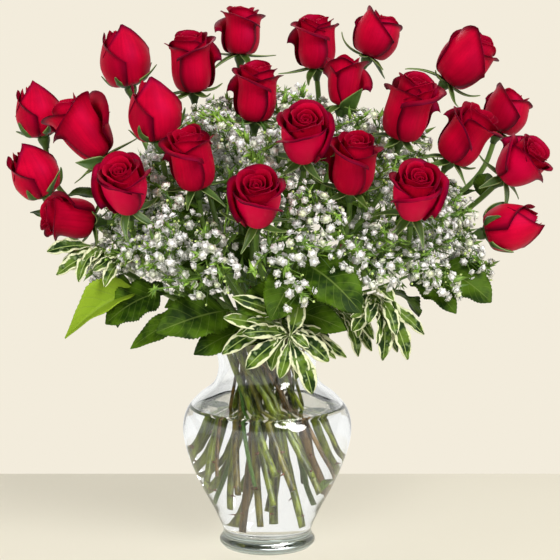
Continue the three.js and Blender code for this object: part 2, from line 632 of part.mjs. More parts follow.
// Adds twigs with clusters, in the spray's own sector of the dome, wherever a twig and its cluster have room.
function makeBreathSpray(spray, { low, top }, draw) {
  const parts = [tube([low[0], top.to], FILLER_STEM_RADIUS, 1)];
  const others = taken.filter((it) => it !== top);
  const branches = [top];
  const clusters = [];
  for (let tries = 0; clusters.length < CLUSTERS_PER_SPRAY && tries < MOST_DRAWS; tries++) {
    const angle = sectorOf(spray) + (draw() - 0.5) * ((2 * Math.PI) / BREATH_SPRAYS) * SECTOR_FILL;
    const rise = draw() ** 1.2 * 0.5 * Math.PI; // a little more often low down
    const radius = lerp(...CLUSTER_RADIUS, draw());
    const depth = 1 - 0.4 * draw() ** 1.6; // mostly near the dome's surface
    const end = new THREE.Vector3(Math.cos(rise), 0, Math.sin(rise)).applyAxisAngle(UP, angle);
    end.multiply(DOME_RADII).multiplyScalar(depth).add(DOME_CENTRE);
    if (end.z < DOME_FLOOR || !isClear(end, end, radius, [...others, ...clusters])) continue;
    const forks = branches.map((branch) => forkOn(branch, end));
    const root = forks.sort((a, b) => a.distanceTo(end) - b.distanceTo(end))[0];
    const siblings = branches.filter((branch) => branch !== top && isClear(root, root, 1, [branch]));
    if (!isClear(root, end, TWIG_RADIUS, [...others, ...clusters, ...siblings])) continue;
    clusters.push({ from: end, to: end, radius });
    branches.push({ from: root, to: end, radius: TWIG_RADIUS });
    const below = root.clone().sub(end).normalize();
    parts.push(twig(root, end), floretCluster(end, radius, draw() * Math.PI, below));
  }
  taken.push(...branches.slice(1), ...clusters);
  return { solid: fuse(parts), hole: holeFor(low, FILLER_STEM_RADIUS) };
}

// ---- The bouquet ----

const bouquet = new THREE.Group();
const holes = [];
const draw = makeDraw(FIRST_DRAW);
const twoDigits = (i) => String(i + 1).padStart(2, '0');

function addStem(name, { solid, hole }, material) {
  holes.push(hole);
  bouquet.add(meshOf(name, solid, material));
}

const sprays = [...LEMON_LEAF, ...PITTOSPORUM];
const breath = Array.from({ length: BREATH_SPRAYS }, (_, k) => k);
const targets = [...ROSES.map(bendOf), ...sprays.map(({ stem }) => vec(stem[1])), ...breath.map(headingOf)];
const slotOf = assignSlots(targets);

ROSES.forEach((rose, i) => {
  bouquet.add(meshOf(`rose_bloom_${twoDigits(i)}`, makeBloom(rose, draw), finish(0xa3061b, 0.55)));
  addStem(`rose_stem_${twoDigits(i)}`, makeRoseStem(rose, slotOf[i], draw), finish(0x45591f, 0.6));
});
sprays.forEach((spray, i) => {
  const isLemon = i < LEMON_LEAF.length;
  const made = makeSpray(spray, slotOf[ROSES.length + i], isLemon ? LEMON_BLADE : PITTOSPORUM_BLADE);
  addStem(spray.name, made, isLemon ? finish(0x2f4d16, 0.45) : finish(0xa9b877, 0.5));
});
const breathStems = breath.map((k) => makeBreathStem(slotOf[ROSES.length + sprays.length + k]));
breathStems.forEach((stem, k) =>
  addStem(`babys_breath_${k + 1}`, makeBreathSpray(k, stem, draw), finish(0xe9ece0, 0.8)),
);

bouquet.add(meshOf('vase', makeVase(), clear(0xe8f0ee, 0.35)));
bouquet.add(meshOf('water', makeWater(holes), clear(0xe4eeee, 0.3)));

export default bouquet;
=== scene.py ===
# Two dozen red roses with baby's breath, lemon leaf and pittosporum, in a clear glass vase of water
# metres and degrees throughout; z is up, and the bouquet's face looks along -y
import math
import random

import bpy
import numpy as np
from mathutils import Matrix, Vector


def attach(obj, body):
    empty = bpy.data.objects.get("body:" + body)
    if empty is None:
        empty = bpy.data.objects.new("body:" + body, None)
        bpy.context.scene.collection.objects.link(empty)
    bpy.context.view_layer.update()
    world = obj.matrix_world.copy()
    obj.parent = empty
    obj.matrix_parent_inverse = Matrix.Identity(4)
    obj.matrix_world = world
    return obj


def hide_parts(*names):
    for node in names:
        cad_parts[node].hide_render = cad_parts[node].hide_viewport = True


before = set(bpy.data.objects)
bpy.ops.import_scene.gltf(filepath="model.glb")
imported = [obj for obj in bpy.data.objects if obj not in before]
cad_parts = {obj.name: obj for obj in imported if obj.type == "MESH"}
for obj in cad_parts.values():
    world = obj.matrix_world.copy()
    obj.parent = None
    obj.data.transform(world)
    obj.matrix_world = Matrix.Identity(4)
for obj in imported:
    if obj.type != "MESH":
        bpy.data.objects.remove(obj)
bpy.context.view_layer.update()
print("frame loaded:", len(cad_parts), "nodes")

cameraSetup = {
    "place": (0.0123, -1.7, 0.5),
    "downwards": 8.107,
    "lens": 115.9,            # in millimetres, like the sensor
    "sensor": 36,
}
lights = {
    "key": {"place": (0.8, -1.35, 1.55), "size": 1.0, "power": 36, "colour": (1, 0.99, 0.97)},
    "fill": {"place": (-1.0, -1.6, 0.5), "size": 1.2, "power": 20, "colour": (0.97, 0.98, 1)},
    "rim": {"place": (-0.3, 1.3, 1.4), "size": 0.9, "power": 7, "colour": (1, 1, 1)},
    "window": {"place": (1.2, -1.2, 1.0), "size": 0.8, "power": 22, "colour": (1, 1, 1)},
}
lightsAim = (0, 0, 0.27)


def addCamera():
    camera = bpy.data.objects.new("camera", bpy.data.cameras.new("camera"))
    camera.location = cameraSetup["place"]
    camera.rotation_euler = (math.radians(90 - cameraSetup["downwards"]), 0, 0)
    camera.data.sensor_width = cameraSetup["sensor"]
    camera.data.lens = cameraSetup["lens"]
    bpy.context.scene.collection.objects.link(camera)
    bpy.context.scene.camera = camera


def addLight(name, place, size, power, colour):
    lamp = bpy.data.lights.new(name, "AREA")
    lamp.shape = "DISK"
    lamp.size = size
    lamp.energy = power
    lamp.color = colour
    light = bpy.data.objects.new(name, lamp)
    light.location = place
    light.rotation_euler = (Vector(lightsAim) - Vector(place)).to_track_quat("-Z", "Y").to_euler()
    # the window shows only as the bright spots on the glass, where the fill never shows
    light.visible_diffuse = name != "window"
    light.visible_glossy = light.visible_transmission = name != "fill"
    bpy.context.scene.collection.objects.link(light)


def curveThrough(points, count):
    # a smooth curve through the points, as count + 1 evenly spaced points
    given = np.array(points, float)
    padded = np.vstack([2 * given[0] - given[1], given, 2 * given[-1] - given[-2]])
    t = np.linspace(0, 1, 24, endpoint=False)[:, None]
    fine = []
    for a, b, c, d in zip(padded, padded[1:], padded[2:], padded[3:]):
        ab, bc, cd = (max(np.linalg.norm(q - p), 1e-9) ** 0.5 for p, q in ((a, b), (b, c), (c, d)))
        leave = ((b - a) / ab - (c - a) / (ab + bc) + (c - b) / bc) * bc
        arrive = ((c - b) / bc - (d - b) / (bc + cd) + (d - c) / cd) * bc
        fine.append(b * (2 * t**3 - 3 * t**2 + 1) + leave * (t**3 - 2 * t**2 + t)
                    + c * (3 * t**2 - 2 * t**3) + arrive * (t**3 - t**2))
    fine = np.vstack(fine + [given[-1]])
    travelled = np.concatenate([[0], np.cumsum(np.linalg.norm(np.diff(fine, axis=0), axis=1))])
    wanted = np.linspace(0, travelled[-1], count + 1)
    return np.column_stack([np.interp(wanted, travelled, fine[:, k]) for k in range(fine.shape[1])])


def unit(vectors):
    return vectors / np.maximum(np.linalg.norm(vectors, axis=-1, keepdims=True), 1e-12)


def addPiece(name, parts, finish, nodes=()):
    # joins parts into one mesh that rides on the vase's body and stands for the named nodes
    count, points, grain, corners, sizes = 0, [], [], [], []
    for part in parts:
        points.append(part["points"])
        grain.append(part["grain"])
        for block in part["faces"]:
            corners.append((block + count).ravel())
            sizes.append(np.full(len(block), block.shape[1]))
        count += len(part["points"])
    corners, sizes = np.concatenate(corners), np.concatenate(sizes)
    mesh = bpy.data.meshes.new(name)
    mesh.vertices.add(count)
    mesh.vertices.foreach_set("co", np.vstack(points).ravel())
    mesh.loops.add(len(corners))
    mesh.loops.foreach_set("vertex_index", corners)
    mesh.polygons.add(len(sizes))
    mesh.polygons.foreach_set("loop_start", np.concatenate([[0], np.cumsum(sizes)[:-1]]))
    mesh.polygons.foreach_set("use_smooth", np.ones(len(sizes), bool))
    mesh.update(calc_edges=True)
    kept = mesh.attributes.new("grain", "FLOAT_VECTOR", "POINT")
    kept.data.foreach_set("vector", np.vstack(grain).ravel())
    mesh.validate()
    mesh.materials.append(finish)
    piece = bpy.data.objects.new(name, mesh)
    bpy.context.scene.collection.objects.link(piece)
    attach(piece, "root")
    if nodes:
        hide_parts(*nodes)


def draws(luck, count, low=0, high=1):
    return np.array([luck.uniform(low, high) for _ in range(count)])


def jitter(luck, spread, count):
    # a random step to any side, for each of count points
    return np.array([[luck.uniform(-spread, spread) for _ in range(3)] for _ in range(count)])


def sheet(grid, across, along, chance, thickness):
    # a thin closed sheet over a grid of points; across and along are kept for the material
    rows, columns = grid.shape[:2]
    down, right = np.gradient(grid, axis=0), np.gradient(grid, axis=1)
    offset = unit(np.cross(right, down)) * (np.asarray(thickness)[..., None] / 2)
    count = rows * columns
    index = np.arange(count).reshape(rows, columns)
    a, b, c, d = index[:-1, :-1], index[:-1, 1:], index[1:, 1:], index[1:, :-1]
    front = np.stack([a, b, c, d], -1).reshape(-1, 4)
    edge = np.concatenate([index[0, :-1], index[:-1, -1], index[-1, :0:-1], index[:0:-1, 0]])
    ahead = np.roll(edge, -1)
    rim = np.stack([ahead, edge, edge + count, ahead + count], -1)
    grain = np.stack(np.broadcast_arrays(across, along, chance), -1).reshape(-1, 3)
    return {
        "points": np.vstack([(grid + offset).reshape(-1, 3), (grid - offset).reshape(-1, 3)]),
        "faces": [front, front[:, ::-1] + count, rim],
        "grain": np.vstack([grain, grain]).astype(float),
    }


def tubes(paths, radii, sides, chance):
    # closed tubes along many paths at once: paths is [tube, point, 3] and radii is [tube, point]
    paths, radii = np.asarray(paths, float), np.asarray(radii, float)
    number, rings = paths.shape[:2]
    way = unit(np.gradient(paths, axis=1))
    whole = unit(paths[:, -1] - paths[:, 0])
    helper = np.where(np.abs(whole[:, :1]) < 0.8, [[1.0, 0, 0]], [[0, 1.0, 0]])
    side = unit(np.cross(way, helper[:, None]))
    other = np.cross(way, side)
    turn = 2 * np.pi * np.arange(sides) / sides
    around = np.cos(turn)[:, None] * side[:, :, None] + np.sin(turn)[:, None] * other[:, :, None]
    points = paths[:, :, None] + radii[:, :, None, None] * around
    index = np.arange(number * rings * sides).reshape(number, rings, sides)
    near, far = index[:, :-1], index[:, 1:]
    walls = np.stack([near, np.roll(near, -1, 2), np.roll(far, -1, 2), far], -1).reshape(-1, 4)
    along = np.linspace(0, 1, rings)[None, :, None]
    grain = np.stack(np.broadcast_arrays(turn / (2 * np.pi), along, np.reshape(chance, (-1, 1, 1))), -1)
    grain = np.broadcast_to(grain, (number, rings, sides, 3))
    return {
        "points": points.reshape(-1, 3),
        "faces": [walls, index[:, 0, ::-1].copy(), index[:, -1].copy()],
        "grain": grain.reshape(-1, 3).astype(float),
    }


def lathe(profile, sides, chance=0.0):
    # turns an outline of [radius, height] that starts and ends on the z axis round it
    turn = 2 * np.pi * np.arange(sides) / sides
    rings, starts = [], []
    for radius, height in profile:
        starts.append(sum(len(ring) for ring in rings))
        if radius < 1e-6:
            rings.append(np.array([[0, 0, height]]))
        else:
            level = np.full(sides, height)
            rings.append(np.column_stack([radius * np.cos(turn), radius * np.sin(turn), level]))
    faces = []
    step = np.arange(sides)
    ahead = (step + 1) % sides
    for ring, (low, high) in enumerate(zip(starts, starts[1:])):
        if len(rings[ring]) == 1:
            faces.append(np.column_stack([np.full(sides, low), high + ahead, high + step]))
        elif len(rings[ring + 1]) == 1:
            faces.append(np.column_stack([low + step, low + ahead, np.full(sides, high)]))
        else:
            faces.append(np.column_stack([low + step, low + ahead, high + ahead, high + step]))
    points = np.vstack(rings)
    grain = np.column_stack([points[:, 0], points[:, 2], np.full(len(points), chance)])
    return {"points": points, "faces": faces, "grain": grain}


def placed(part, place, axis):
    # carries a part that was made round the origin along +z to a place, turned along an axis
    up, axis = np.array([0, 0, 1.0]), unit(np.asarray(axis, float))
    hinge = np.cross(up, axis)
    cross = np.array([[0, -hinge[2], hinge[1]], [hinge[2], 0, -hinge[0]], [-hinge[1], hinge[0], 0]])
    turn = np.eye(3) + cross + cross @ cross / (1 + up @ axis)
    return {**part, "points": part["points"] @ turn.T + np.asarray(place)}


def newFinish(name, roughness, **sockets):
    # a Principled material with its plain sockets set; its colour is linked by paint
    material = bpy.data.materials.new(name)
    material.use_nodes = True
    shader = material.node_tree.nodes["Principled BSDF"]
    shader.inputs["Roughness"].default_value = roughness
    for socket, value in sockets.items():
        shader.inputs[socket].default_value = value
    return material, shader


def paint(material, shader, colour):
    material.node_tree.links.new(colour, shader.inputs["Base Color"])


def addNode(material, kind, inputs=None, **settings):
    # adds a node; an input is a value or another node's output
    node = material.node_tree.nodes.new(kind)
    for key, value in settings.items():
        setattr(node, key, value)
    for key, value in (inputs or {}).items():
        if isinstance(value, bpy.types.NodeSocket):
            material.node_tree.links.new(value, node.inputs[key])
        else:
            node.inputs[key].default_value = value
    return node


def calculate(material, operation, *values):
    return addNode(material, "ShaderNodeMath", dict(enumerate(values)), operation=operation).outputs[0]


def times(material, first, second):
    return calculate(material, "MULTIPLY", first, second)


def between(material, value, low, high, toLow=0.0, toHigh=1.0):
    # a smooth step of a value from one range to another
    node = addNode(material, "ShaderNodeMapRange", {
        "Value": value, "From Min": low, "From Max": high, "To Min": toLow, "To Max": toHigh,
    }, interpolation_type="SMOOTHSTEP")
    return node.outputs["Result"]


def mixColour(material, share, first, second):
    node = addNode(material, "ShaderNodeMix", {"Factor": share}, data_type="RGBA")
    for socket, colour in ((node.inputs[6], first), (node.inputs[7], second)):
        if isinstance(colour, bpy.types.NodeSocket):
            material.node_tree.links.new(colour, socket)
        else:
            socket.default_value = (*colour, 1)
    return node.outputs[2]


def grainOf(material):
    # what a part keeps at its points: across and along run over a petal, leaf or stem, and chance is its own
    read = addNode(material, "ShaderNodeAttribute", attribute_name="grain").outputs["Vector"]
    parts = addNode(material, "ShaderNodeSeparateXYZ", {"Vector": read}).outputs
    return {"whole": read, "across": parts["X"], "along": parts["Y"], "chance": parts["Z"]}


def noise(material, scale, detail=3.0, vector=None):
    if vector is None:
        vector = addNode(material, "ShaderNodeTexCoord").outputs["Object"]
    node = addNode(material, "ShaderNodeTexNoise", {"Vector": vector, "Scale": scale, "Detail": detail})
    return node.outputs["Fac"]


def streaked(material, vector, stretch):
    # noise drawn out by its own scale in each direction
    drawn = addNode(material, "ShaderNodeMapping", {"Vector": vector, "Scale": stretch})
    return noise(material, 1.0, 4.0, drawn.outputs["Vector"])


def bump(material, shader, height, strength, distance):
    inputs = {"Height": height, "Strength": strength, "Distance": distance}
    node = addNode(material, "ShaderNodeBump", inputs)
    material.node_tree.links.new(node.outputs["Normal"], shader.inputs["Normal"])


stageSetup = {
    "reach": 3,
    "tableEdge": 0.27,        # how far behind the vase the table ends
    "tableColour": (0.474, 0.450, 0.384),
    # painted light: the table glows a little, though it is no lamp
    "tablePaintedGlow": (0.310, 0.289, 0.234),    # keeps the bouquet's shadow on the table faint
    "tableRoughness": 0.7,
    "tableClouds": (3, 0.97),          # their scale, and how dark they are
    "wallColour": (0.896, 0.839, 0.716),
    "ambient": 0.45,          # how strongly the studio round about lights dull surfaces
    "mirrored": (1.04, 1.04, 1.02),    # the studio as it shows in glass, with a darker ceiling
    "ceiling": (0.10, 0.11, 0.10),
    "ceilingBand": (0.30, 0.42, 0.80, 0.90),
}


def addWorld():
    # the wall behind, a softer light for dull surfaces, and a dark ceiling that draws lines in the glass
    world = bpy.data.worlds.new("studio")
    world.use_nodes = True
    link = world.node_tree.links.new
    back = world.node_tree.nodes["Background"]
    path = addNode(world, "ShaderNodeLightPath").outputs
    way = addNode(world, "ShaderNodeTexCoord").outputs["Generated"]
    height = addNode(world, "ShaderNodeSeparateXYZ", {"Vector": way}).outputs["Z"]
    start, full, fade, end = stageSetup["ceilingBand"]
    band = times(world, between(world, height, start, full), between(world, height, end, fade))
    glossy = mixColour(world, band, stageSetup["mirrored"], stageSetup["ceiling"])
    shiny = calculate(world, "MAXIMUM", path["Is Glossy Ray"], path["Is Transmission Ray"])
    link(mixColour(world, shiny, stageSetup["wallColour"], glossy), back.inputs["Color"])
    strength = calculate(world, "MULTIPLY_ADD", path["Is Diffuse Ray"], stageSetup["ambient"] - 1, 1.0)
    link(strength, back.inputs["Strength"])
    bpy.context.scene.world = world


def addTable():
    # painted light: the table glows, which keeps the shadows on it faint
    material, shader = newFinish("paleTable", stageSetup["tableRoughness"], **{
        "Emission Color": (*stageSetup["tablePaintedGlow"], 1), "Emission Strength": 1,
    })
    scale, darker = stageSetup["tableClouds"]
    pale = stageSetup["tableColour"]
    clouds = noise(material, scale, 2.0)
    paint(material, shader, mixColour(material, clouds, pale, [darker * tone for tone in pale]))
    reach, edge = stageSetup["reach"], stageSetup["tableEdge"]
    corners = [(-reach, -reach, 0), (reach, -reach, 0), (reach, edge, 0), (-reach, edge, 0)]
    mesh = bpy.data.meshes.new("table")
    mesh.from_pydata(corners, [], [(0, 1, 2, 3)])
    mesh.materials.append(material)
    table = bpy.data.objects.new("table", mesh)
    bpy.context.scene.collection.objects.link(table)


petalLook = {
    "roughness": 0.58,
    "sheen": {"Sheen Weight": 0.14, "Sheen Roughness": 0.4, "Sheen Tint": (0.9, 0.0, 0.14, 1)},
    "shine": {"Specular IOR Level": 0.28, "Specular Tint": (1.0, 0.05, 0.4, 1)},
    "veins": (16, 1.2, 9),    # their scale across a petal, along it, and from petal to petal
    "veinShare": 0.35,
    "clouds": 42,
    "reds": ((0.33, 0.0006, 0.015), (0.50, 0.0010, 0.023)),
    # painted light: the outer petals of the open roses are lighter, as though lit more from the front
    "glow": (0.54, 0.0012, 0.037),     # the outer petals of the open roses
    # painted shade: the outer petals darken towards their sides, as velvet does where it turns from the light
    "flankShade": (0.14, 0.0, 0.010),
    "flankShadeShare": 0.45,
    "rim": (0.05, 0.0, 0.004),
    # painted shade: the inner petals darken low down, deep in the heart, where the bloom shades itself
    "heart": (0.05, 0.0, 0.003),
    "heartShadeShare": 0.5,
    "foot": (0.14, 0.05, 0.01),
    "bump": (0.2, 0.0005),
}


def petalFinish():
    # crimson velvet: fine veins along the petal, darker burgundy towards the edges, painted shade deep in the
    # heart, and painted light on the outer petals of the open roses
    look = petalLook
    material, shader = newFinish("crimsonPetal", look["roughness"], **look["sheen"], **look["shine"])
    grain = grainOf(material)
    along, depth = grain["along"], grain["chance"]
    away = calculate(material, "ABSOLUTE", grain["across"])
    veins = streaked(material, grain["whole"], look["veins"])
    clouds = noise(material, look["clouds"], 2.0)
    share = look["veinShare"]
    tone = calculate(material, "ADD", times(material, veins, share), times(material, clouds, 1 - share))
    outer = between(material, depth, 0.3, 0.85, 0.25, 1.0)
    # painted shade towards the sides of the outer petals
    flankShade = times(material, between(material, away, 0.30, 1.0, 0.0, look["flankShadeShare"]), outer)
    tip = between(material, along, 0.88, 1.0)
    rim = calculate(material, "MAXIMUM", between(material, away, 0.80, 1.0), tip)
    rim = times(material, times(material, rim, outer), between(material, clouds, 0.25, 0.6, 0.55, 1.0))
    # painted shade deep in the heart of the bloom
    heart = times(material, between(material, depth, 0.95, 0.25), between(material, along, 0.66, 0.25))
    colour = mixColour(material, between(material, tone, 0.32, 0.68), *look["reds"])
    # painted light on the outer petals of the open roses
    colour = mixColour(material, between(material, depth, 1.2, 1.8), colour, look["glow"])
    colour = mixColour(material, flankShade, colour, look["flankShade"])
    colour = mixColour(material, rim, colour, look["rim"])
    colour = mixColour(material, times(material, heart, look["heartShadeShare"]), colour, look["heart"])
    colour = mixColour(material, between(material, along, 0.12, 0.02), colour, look["foot"])
    paint(material, shader, colour)
    bump(material, shader, veins, *look["bump"])
    return material


stemLook = {
    "roughness": 0.45,
    "streaks": (260, 260, 26),
    "fresh": ((0.055, 0.13, 0.012), (0.16, 0.27, 0.04)),
    "olive": ((0.008, 0.016, 0.001), (0.17, 0.22, 0.010)),
    "brown": ((0.010, 0.006, 0.002), (0.16, 0.09, 0.020)),
    "wetBetween": (0.26, 0.18),        # the heights over which fresh green turns into olive or brown
    "thorn": (0.11, 0.03, 0.012),
    "thornChance": 2.0,       # what a thorn keeps in place of a stem's own chance, which stays below 1
    "bump": (0.35, 0.0008),
}


def stemFinish():
    # green where it is in the air, olive or brown where it stands in water
    look = stemLook
    material, shader = newFinish("roseStem", look["roughness"])
    chance = grainOf(material)["chance"]
    place = addNode(material, "ShaderNodeTexCoord").outputs["Object"]
    height = addNode(material, "ShaderNodeSeparateXYZ", {"Vector": place}).outputs["Z"]
    streaks = streaked(material, place, look["streaks"])
    contrast = between(material, streaks, 0.3, 0.7)
    fresh = mixColour(material, streaks, *look["fresh"])
    olive = mixColour(material, contrast, *look["olive"])
    brown = mixColour(material, contrast, *look["brown"])
    wet = mixColour(material, between(material, chance, 0.5, 0.85), olive, brown)
    body = mixColour(material, between(material, height, *look["wetBetween"]), fresh, wet)
    thorn = between(material, chance, 1.5, 1.6)
    paint(material, shader, mixColour(material, thorn, body, look["thorn"]))
    bump(material, shader, streaks, *look["bump"])
    return material


lemonLeafLook = {
    "roughness": 0.56,
    "shine": {"Specular IOR Level": 0.07},
    "greens": ((0.010, 0.028, 0.002), (0.060, 0.122, 0.005)),
    "patches": 60,
    "young": (0.21, 0.32, 0.02),       # the light leaf at the left
    "vein": (0.17, 0.24, 0.05),
    "veinShare": 0.5,
    "sideVeins": (9.0, 2.2, 0.6),      # how many there are, how they slant, and how strong they are
    "bump": (0.4, 0.0007),
}


def lemonLeafFinish():
    # leathery green with a pale midrib and side veins
    look = lemonLeafLook
    material, shader = newFinish("lemonLeaf", look["roughness"], **look["shine"])
    grain = grainOf(material)
    away = calculate(material, "ABSOLUTE", grain["across"])
    number, slope, strength = look["sideVeins"]
    along = times(material, grain["along"], number)
    slant = calculate(material, "SUBTRACT", along, times(material, away, slope))
    sideVein = between(material, calculate(material, "PINGPONG", slant, 0.5), 0.07, 0.0)
    midrib = between(material, away, 0.05, 0.015)
    veins = calculate(material, "MAXIMUM", times(material, sideVein, strength), midrib)
    patches = between(material, noise(material, look["patches"], 4.0), 0.35, 0.65)
    colour = mixColour(material, patches, *look["greens"])
    colour = mixColour(material, between(material, grain["chance"], 0.6, 1.0), colour, look["young"])
    colour = mixColour(material, times(material, veins, look["veinShare"]), colour, look["vein"])
    paint(material, shader, colour)
    leather = calculate(material, "SUBTRACT", noise(material, 220, 2.0), veins)
    bump(material, shader, leather, *look["bump"])
    return material


pittosporumLook = {
    "roughness": 0.5,
    "shine": {"Specular IOR Level": 0.12},
    "greens": ((0.010, 0.030, 0.004), (0.095, 0.165, 0.017)),
    "grey": (0.15, 0.21, 0.09),
    "midrib": (0.30, 0.40, 0.12),
    "cream": (0.67, 0.70, 0.45),
    "creamFrom": (1.24, 1.36),         # how far out the cream starts, and where it is full
    "blotches": (110, 1.1),            # their scale, and how far they break up the cream's edge
    "bump": (0.3, 0.0005),
}


def pittosporumFinish():
    # grey-green leaves with a cream edge, broken up where the two meet
    look = pittosporumLook
    material, shader = newFinish("pittosporumLeaf", look["roughness"], **look["shine"])
    away = calculate(material, "ABSOLUTE", grainOf(material)["across"])
    scale, reach = look["blotches"]
    blotches = noise(material, scale, 4.0)
    spread = calculate(material, "ADD", away, times(material, blotches, reach))
    streaks = between(material, noise(material, 90, 2.0), 0.38, 0.6)
    colour = mixColour(material, streaks, *look["greens"])
    bloomed = between(material, noise(material, 210, 2.0), 0.55, 0.7)
    colour = mixColour(material, bloomed, colour, look["grey"])
    colour = mixColour(material, between(material, away, 0.10, 0.02), colour, look["midrib"])
    colour = mixColour(material, between(material, spread, *look["creamFrom"]), colour, look["cream"])
    paint(material, shader, colour)
    bump(material, shader, blotches, *look["bump"])
    return material


sepalLook = {
    "roughness": 0.5,
    "greens": ((0.014, 0.042, 0.006), (0.075, 0.15, 0.018)),
    "edge": (0.20, 0.27, 0.08),
    "bump": (0.3, 0.0005),
}


def sepalFinish():
    look = sepalLook
    material, shader = newFinish("sepal", look["roughness"])
    away = calculate(material, "ABSOLUTE", grainOf(material)["across"])
    patches = noise(material, 120, 3.0)
    green = mixColour(material, patches, *look["greens"])
    paint(material, shader, mixColour(material, between(material, away, 0.8, 1.0), green, look["edge"]))
    bump(material, shader, patches, *look["bump"])
    return material


floretLook = {
    "roughness": 0.7,
    "glow": {"Subsurface Weight": 0.8, "Subsurface Scale": 0.006, "Subsurface Radius": (1, 1, 1)},
    "whites": ((0.70, 0.80, 0.48), (0.98, 0.98, 0.96)),
    "bud": (0.40, 0.56, 0.14),
    "heart": (0.42, 0.52, 0.24),
    "bump": (0.3, 0.0004),
}


def floretFinish():
    # papery white, a little green at the heart; a bud's chance lies below 0.5, and a floret's above
    look = floretLook
    material, shader = newFinish("whiteFloret", look["roughness"], **look["glow"])
    grain = grainOf(material)
    colour = mixColour(material, between(material, grain["chance"], 0.5, 0.72), *look["whites"])
    colour = mixColour(material, between(material, grain["chance"], 0.5, 0.499), colour, look["bud"])
    colour = mixColour(material, between(material, grain["along"], 0.35, 0.0), colour, look["heart"])
    paint(material, shader, colour)
    bump(material, shader, noise(material, 900, 2.0), *look["bump"])
    return material


twigLook = {
    "roughness": 0.5,
    "greens": ((0.024, 0.085, 0.005), (0.34, 0.58, 0.06)),
    "patch": (0.05, 0.12, 0.010),
    "bump": (0.2, 0.0004),
}


def twigFinish():
    look = twigLook
    material, shader = newFinish("breathTwig", look["roughness"])
    patches = noise(material, 150, 2.0)
    green = mixColour(material, grainOf(material)["chance"], *look["greens"])
    paint(material, shader, mixColour(material, patches, green, look["patch"]))
    bump(material, shader, patches, *look["bump"])
    return material


clearLooks = {
    "glass": {"name": "clearGlass", "ior": 1.5, "murk": (0.45, 0.55, 0.50), "density": 14},
    "water": {"name": "clearWater", "ior": 1.33, "murk": (1, 1, 1), "density": 0},
}


def clearFinish(name, ior, murk, density):
    # glass or water; lamps shine through it, so that the stems inside are lit
    material, shader = newFinish(name, 0.0, **{
        "IOR": ior, "Transmission Weight": 1.0, "Base Color": (1, 1, 1, 1),
    })
    out = material.node_tree.nodes["Material Output"]
    shadow = addNode(material, "ShaderNodeLightPath").outputs["Is Shadow Ray"]
    through = addNode(material, "ShaderNodeBsdfTransparent", {"Color": (1, 1, 1, 1)})
    mix = addNode(material, "ShaderNodeMixShader", {0: shadow, 1: shader.outputs[0], 2: through.outputs[0]})
    material.node_tree.links.new(mix.outputs[0], out.inputs["Surface"])
    if density:
        within = addNode(material, "ShaderNodeVolumeAbsorption", {"Color": (*murk, 1), "Density": density})
        material.node_tree.links.new(within.outputs[0], out.inputs["Volume"])
    return material


vaseShape = {
    "outline": [
        (0.0430, 0), (0.0465, 0.005), (0.0425, 0.013), (0.0500, 0.033), (0.0630, 0.058), (0.0750, 0.086),
        (0.0810, 0.113), (0.0776, 0.132), (0.0665, 0.146), (0.0510, 0.159), (0.0465, 0.174), (0.0485, 0.188),
        (0.0550, 0.204),
    ],
    "underside": [(0, 0.0022), (0.030, 0.0018), (0.036, 0.0002), (0.0385, 0)],
    "wall": 0.0032,
    "floor": 0.014,
    "floorCurve": ((0, 0.003), (0.0016, 0.0009), (0.005, 0)),    # in from the wall, and up from the floor
    "lip": ((-0.15, 0.75), (-0.5, 1.0), (-0.85, 0.75)),    # across the rim, and up by a share of its height
    "lipHeight": 0.55,        # in wall thicknesses
    "sides": 128,
    "waterLevel": 0.136,
    "meniscus": ((0, 0.0012), (0.0012, 0.0004), (0.004, 0)),    # in from the glass, and up from the level
    "overlap": 0.00015,       # how far the water goes into the glass, so that no air shows between them
}


def innerRadius(height):
    radii, heights = zip(*vaseShape["outline"])
    return np.interp(height, heights, radii) - vaseShape["wall"]


def glassProfile():
    # up the outside, over the lip, down the inside and in across the floor
    outer = curveThrough(vaseShape["outline"], 90)
    wall, floor = vaseShape["wall"], vaseShape["floor"]
    slope = unit(np.gradient(outer, axis=0))
    inward = np.column_stack([-slope[:, 1], slope[:, 0]])
    inner = outer + inward * wall
    inner = inner[inner[:, 1] > floor + 0.004]
    lip = []
    for share, lift in vaseShape["lip"]:
        across = (outer[-1] - inner[-1]) * share
        lip.append(outer[-1] + across + slope[-1] * wall * vaseShape["lipHeight"] * lift)
    hollow = inner[0][0]
    bottom = [(hollow - inwards, floor + up) for inwards, up in vaseShape["floorCurve"]]
    bottom += [(hollow * 0.5, floor + 0.0005), (0, floor + 0.0012)]
    return [*vaseShape["underside"], *map(tuple, outer), *map(tuple, lip), *map(tuple, inner[::-1]), *bottom]


def waterProfile():
    # along the glass from the middle of the floor to the level, and back in over the top
    glass = glassProfile()
    level, overlap = vaseShape["waterLevel"], vaseShape["overlap"]
    inner = [point for point in glass[len(glass) // 2:] if point[1] < level - 0.001][::-1]
    outline = [(0, inner[0][1] - overlap)]
    for radius, height in inner[1:]:
        outline.append((max(0, radius) + (overlap if radius > 0 else 0), height - overlap))
    edge = innerRadius(level) + overlap
    outline += [(edge - inwards, level + up) for inwards, up in vaseShape["meniscus"]]
    return outline + [(edge * 0.5, level), (0, level)]


sheaf = {
    "waistHeight": 0.165,     # where the stems stand closest together, in the neck of the vase
    "waistRadius": 0.033,
    "lean": 0.048,            # the height over which the sheaf would turn through 45 degrees
    "leavesVaseAt": 0.205,
    "straightAtRim": 0.008,
    "fanHeight": 0.420,       # where the order of the stems is set against where they lead
    "wallClearance": 0.003,
    "bend": 0.048,            # the last stretch of a rose stem, which turns to the bloom's own direction
    "roseRadius": 0.0029,
    "fillerRadius": 0.0018,
    "roseEnd": (0.018, 0.030),         # how high over the table the cut ends are
    "leafEnd": 0.038,
    "breathEnd": 0.048,
}


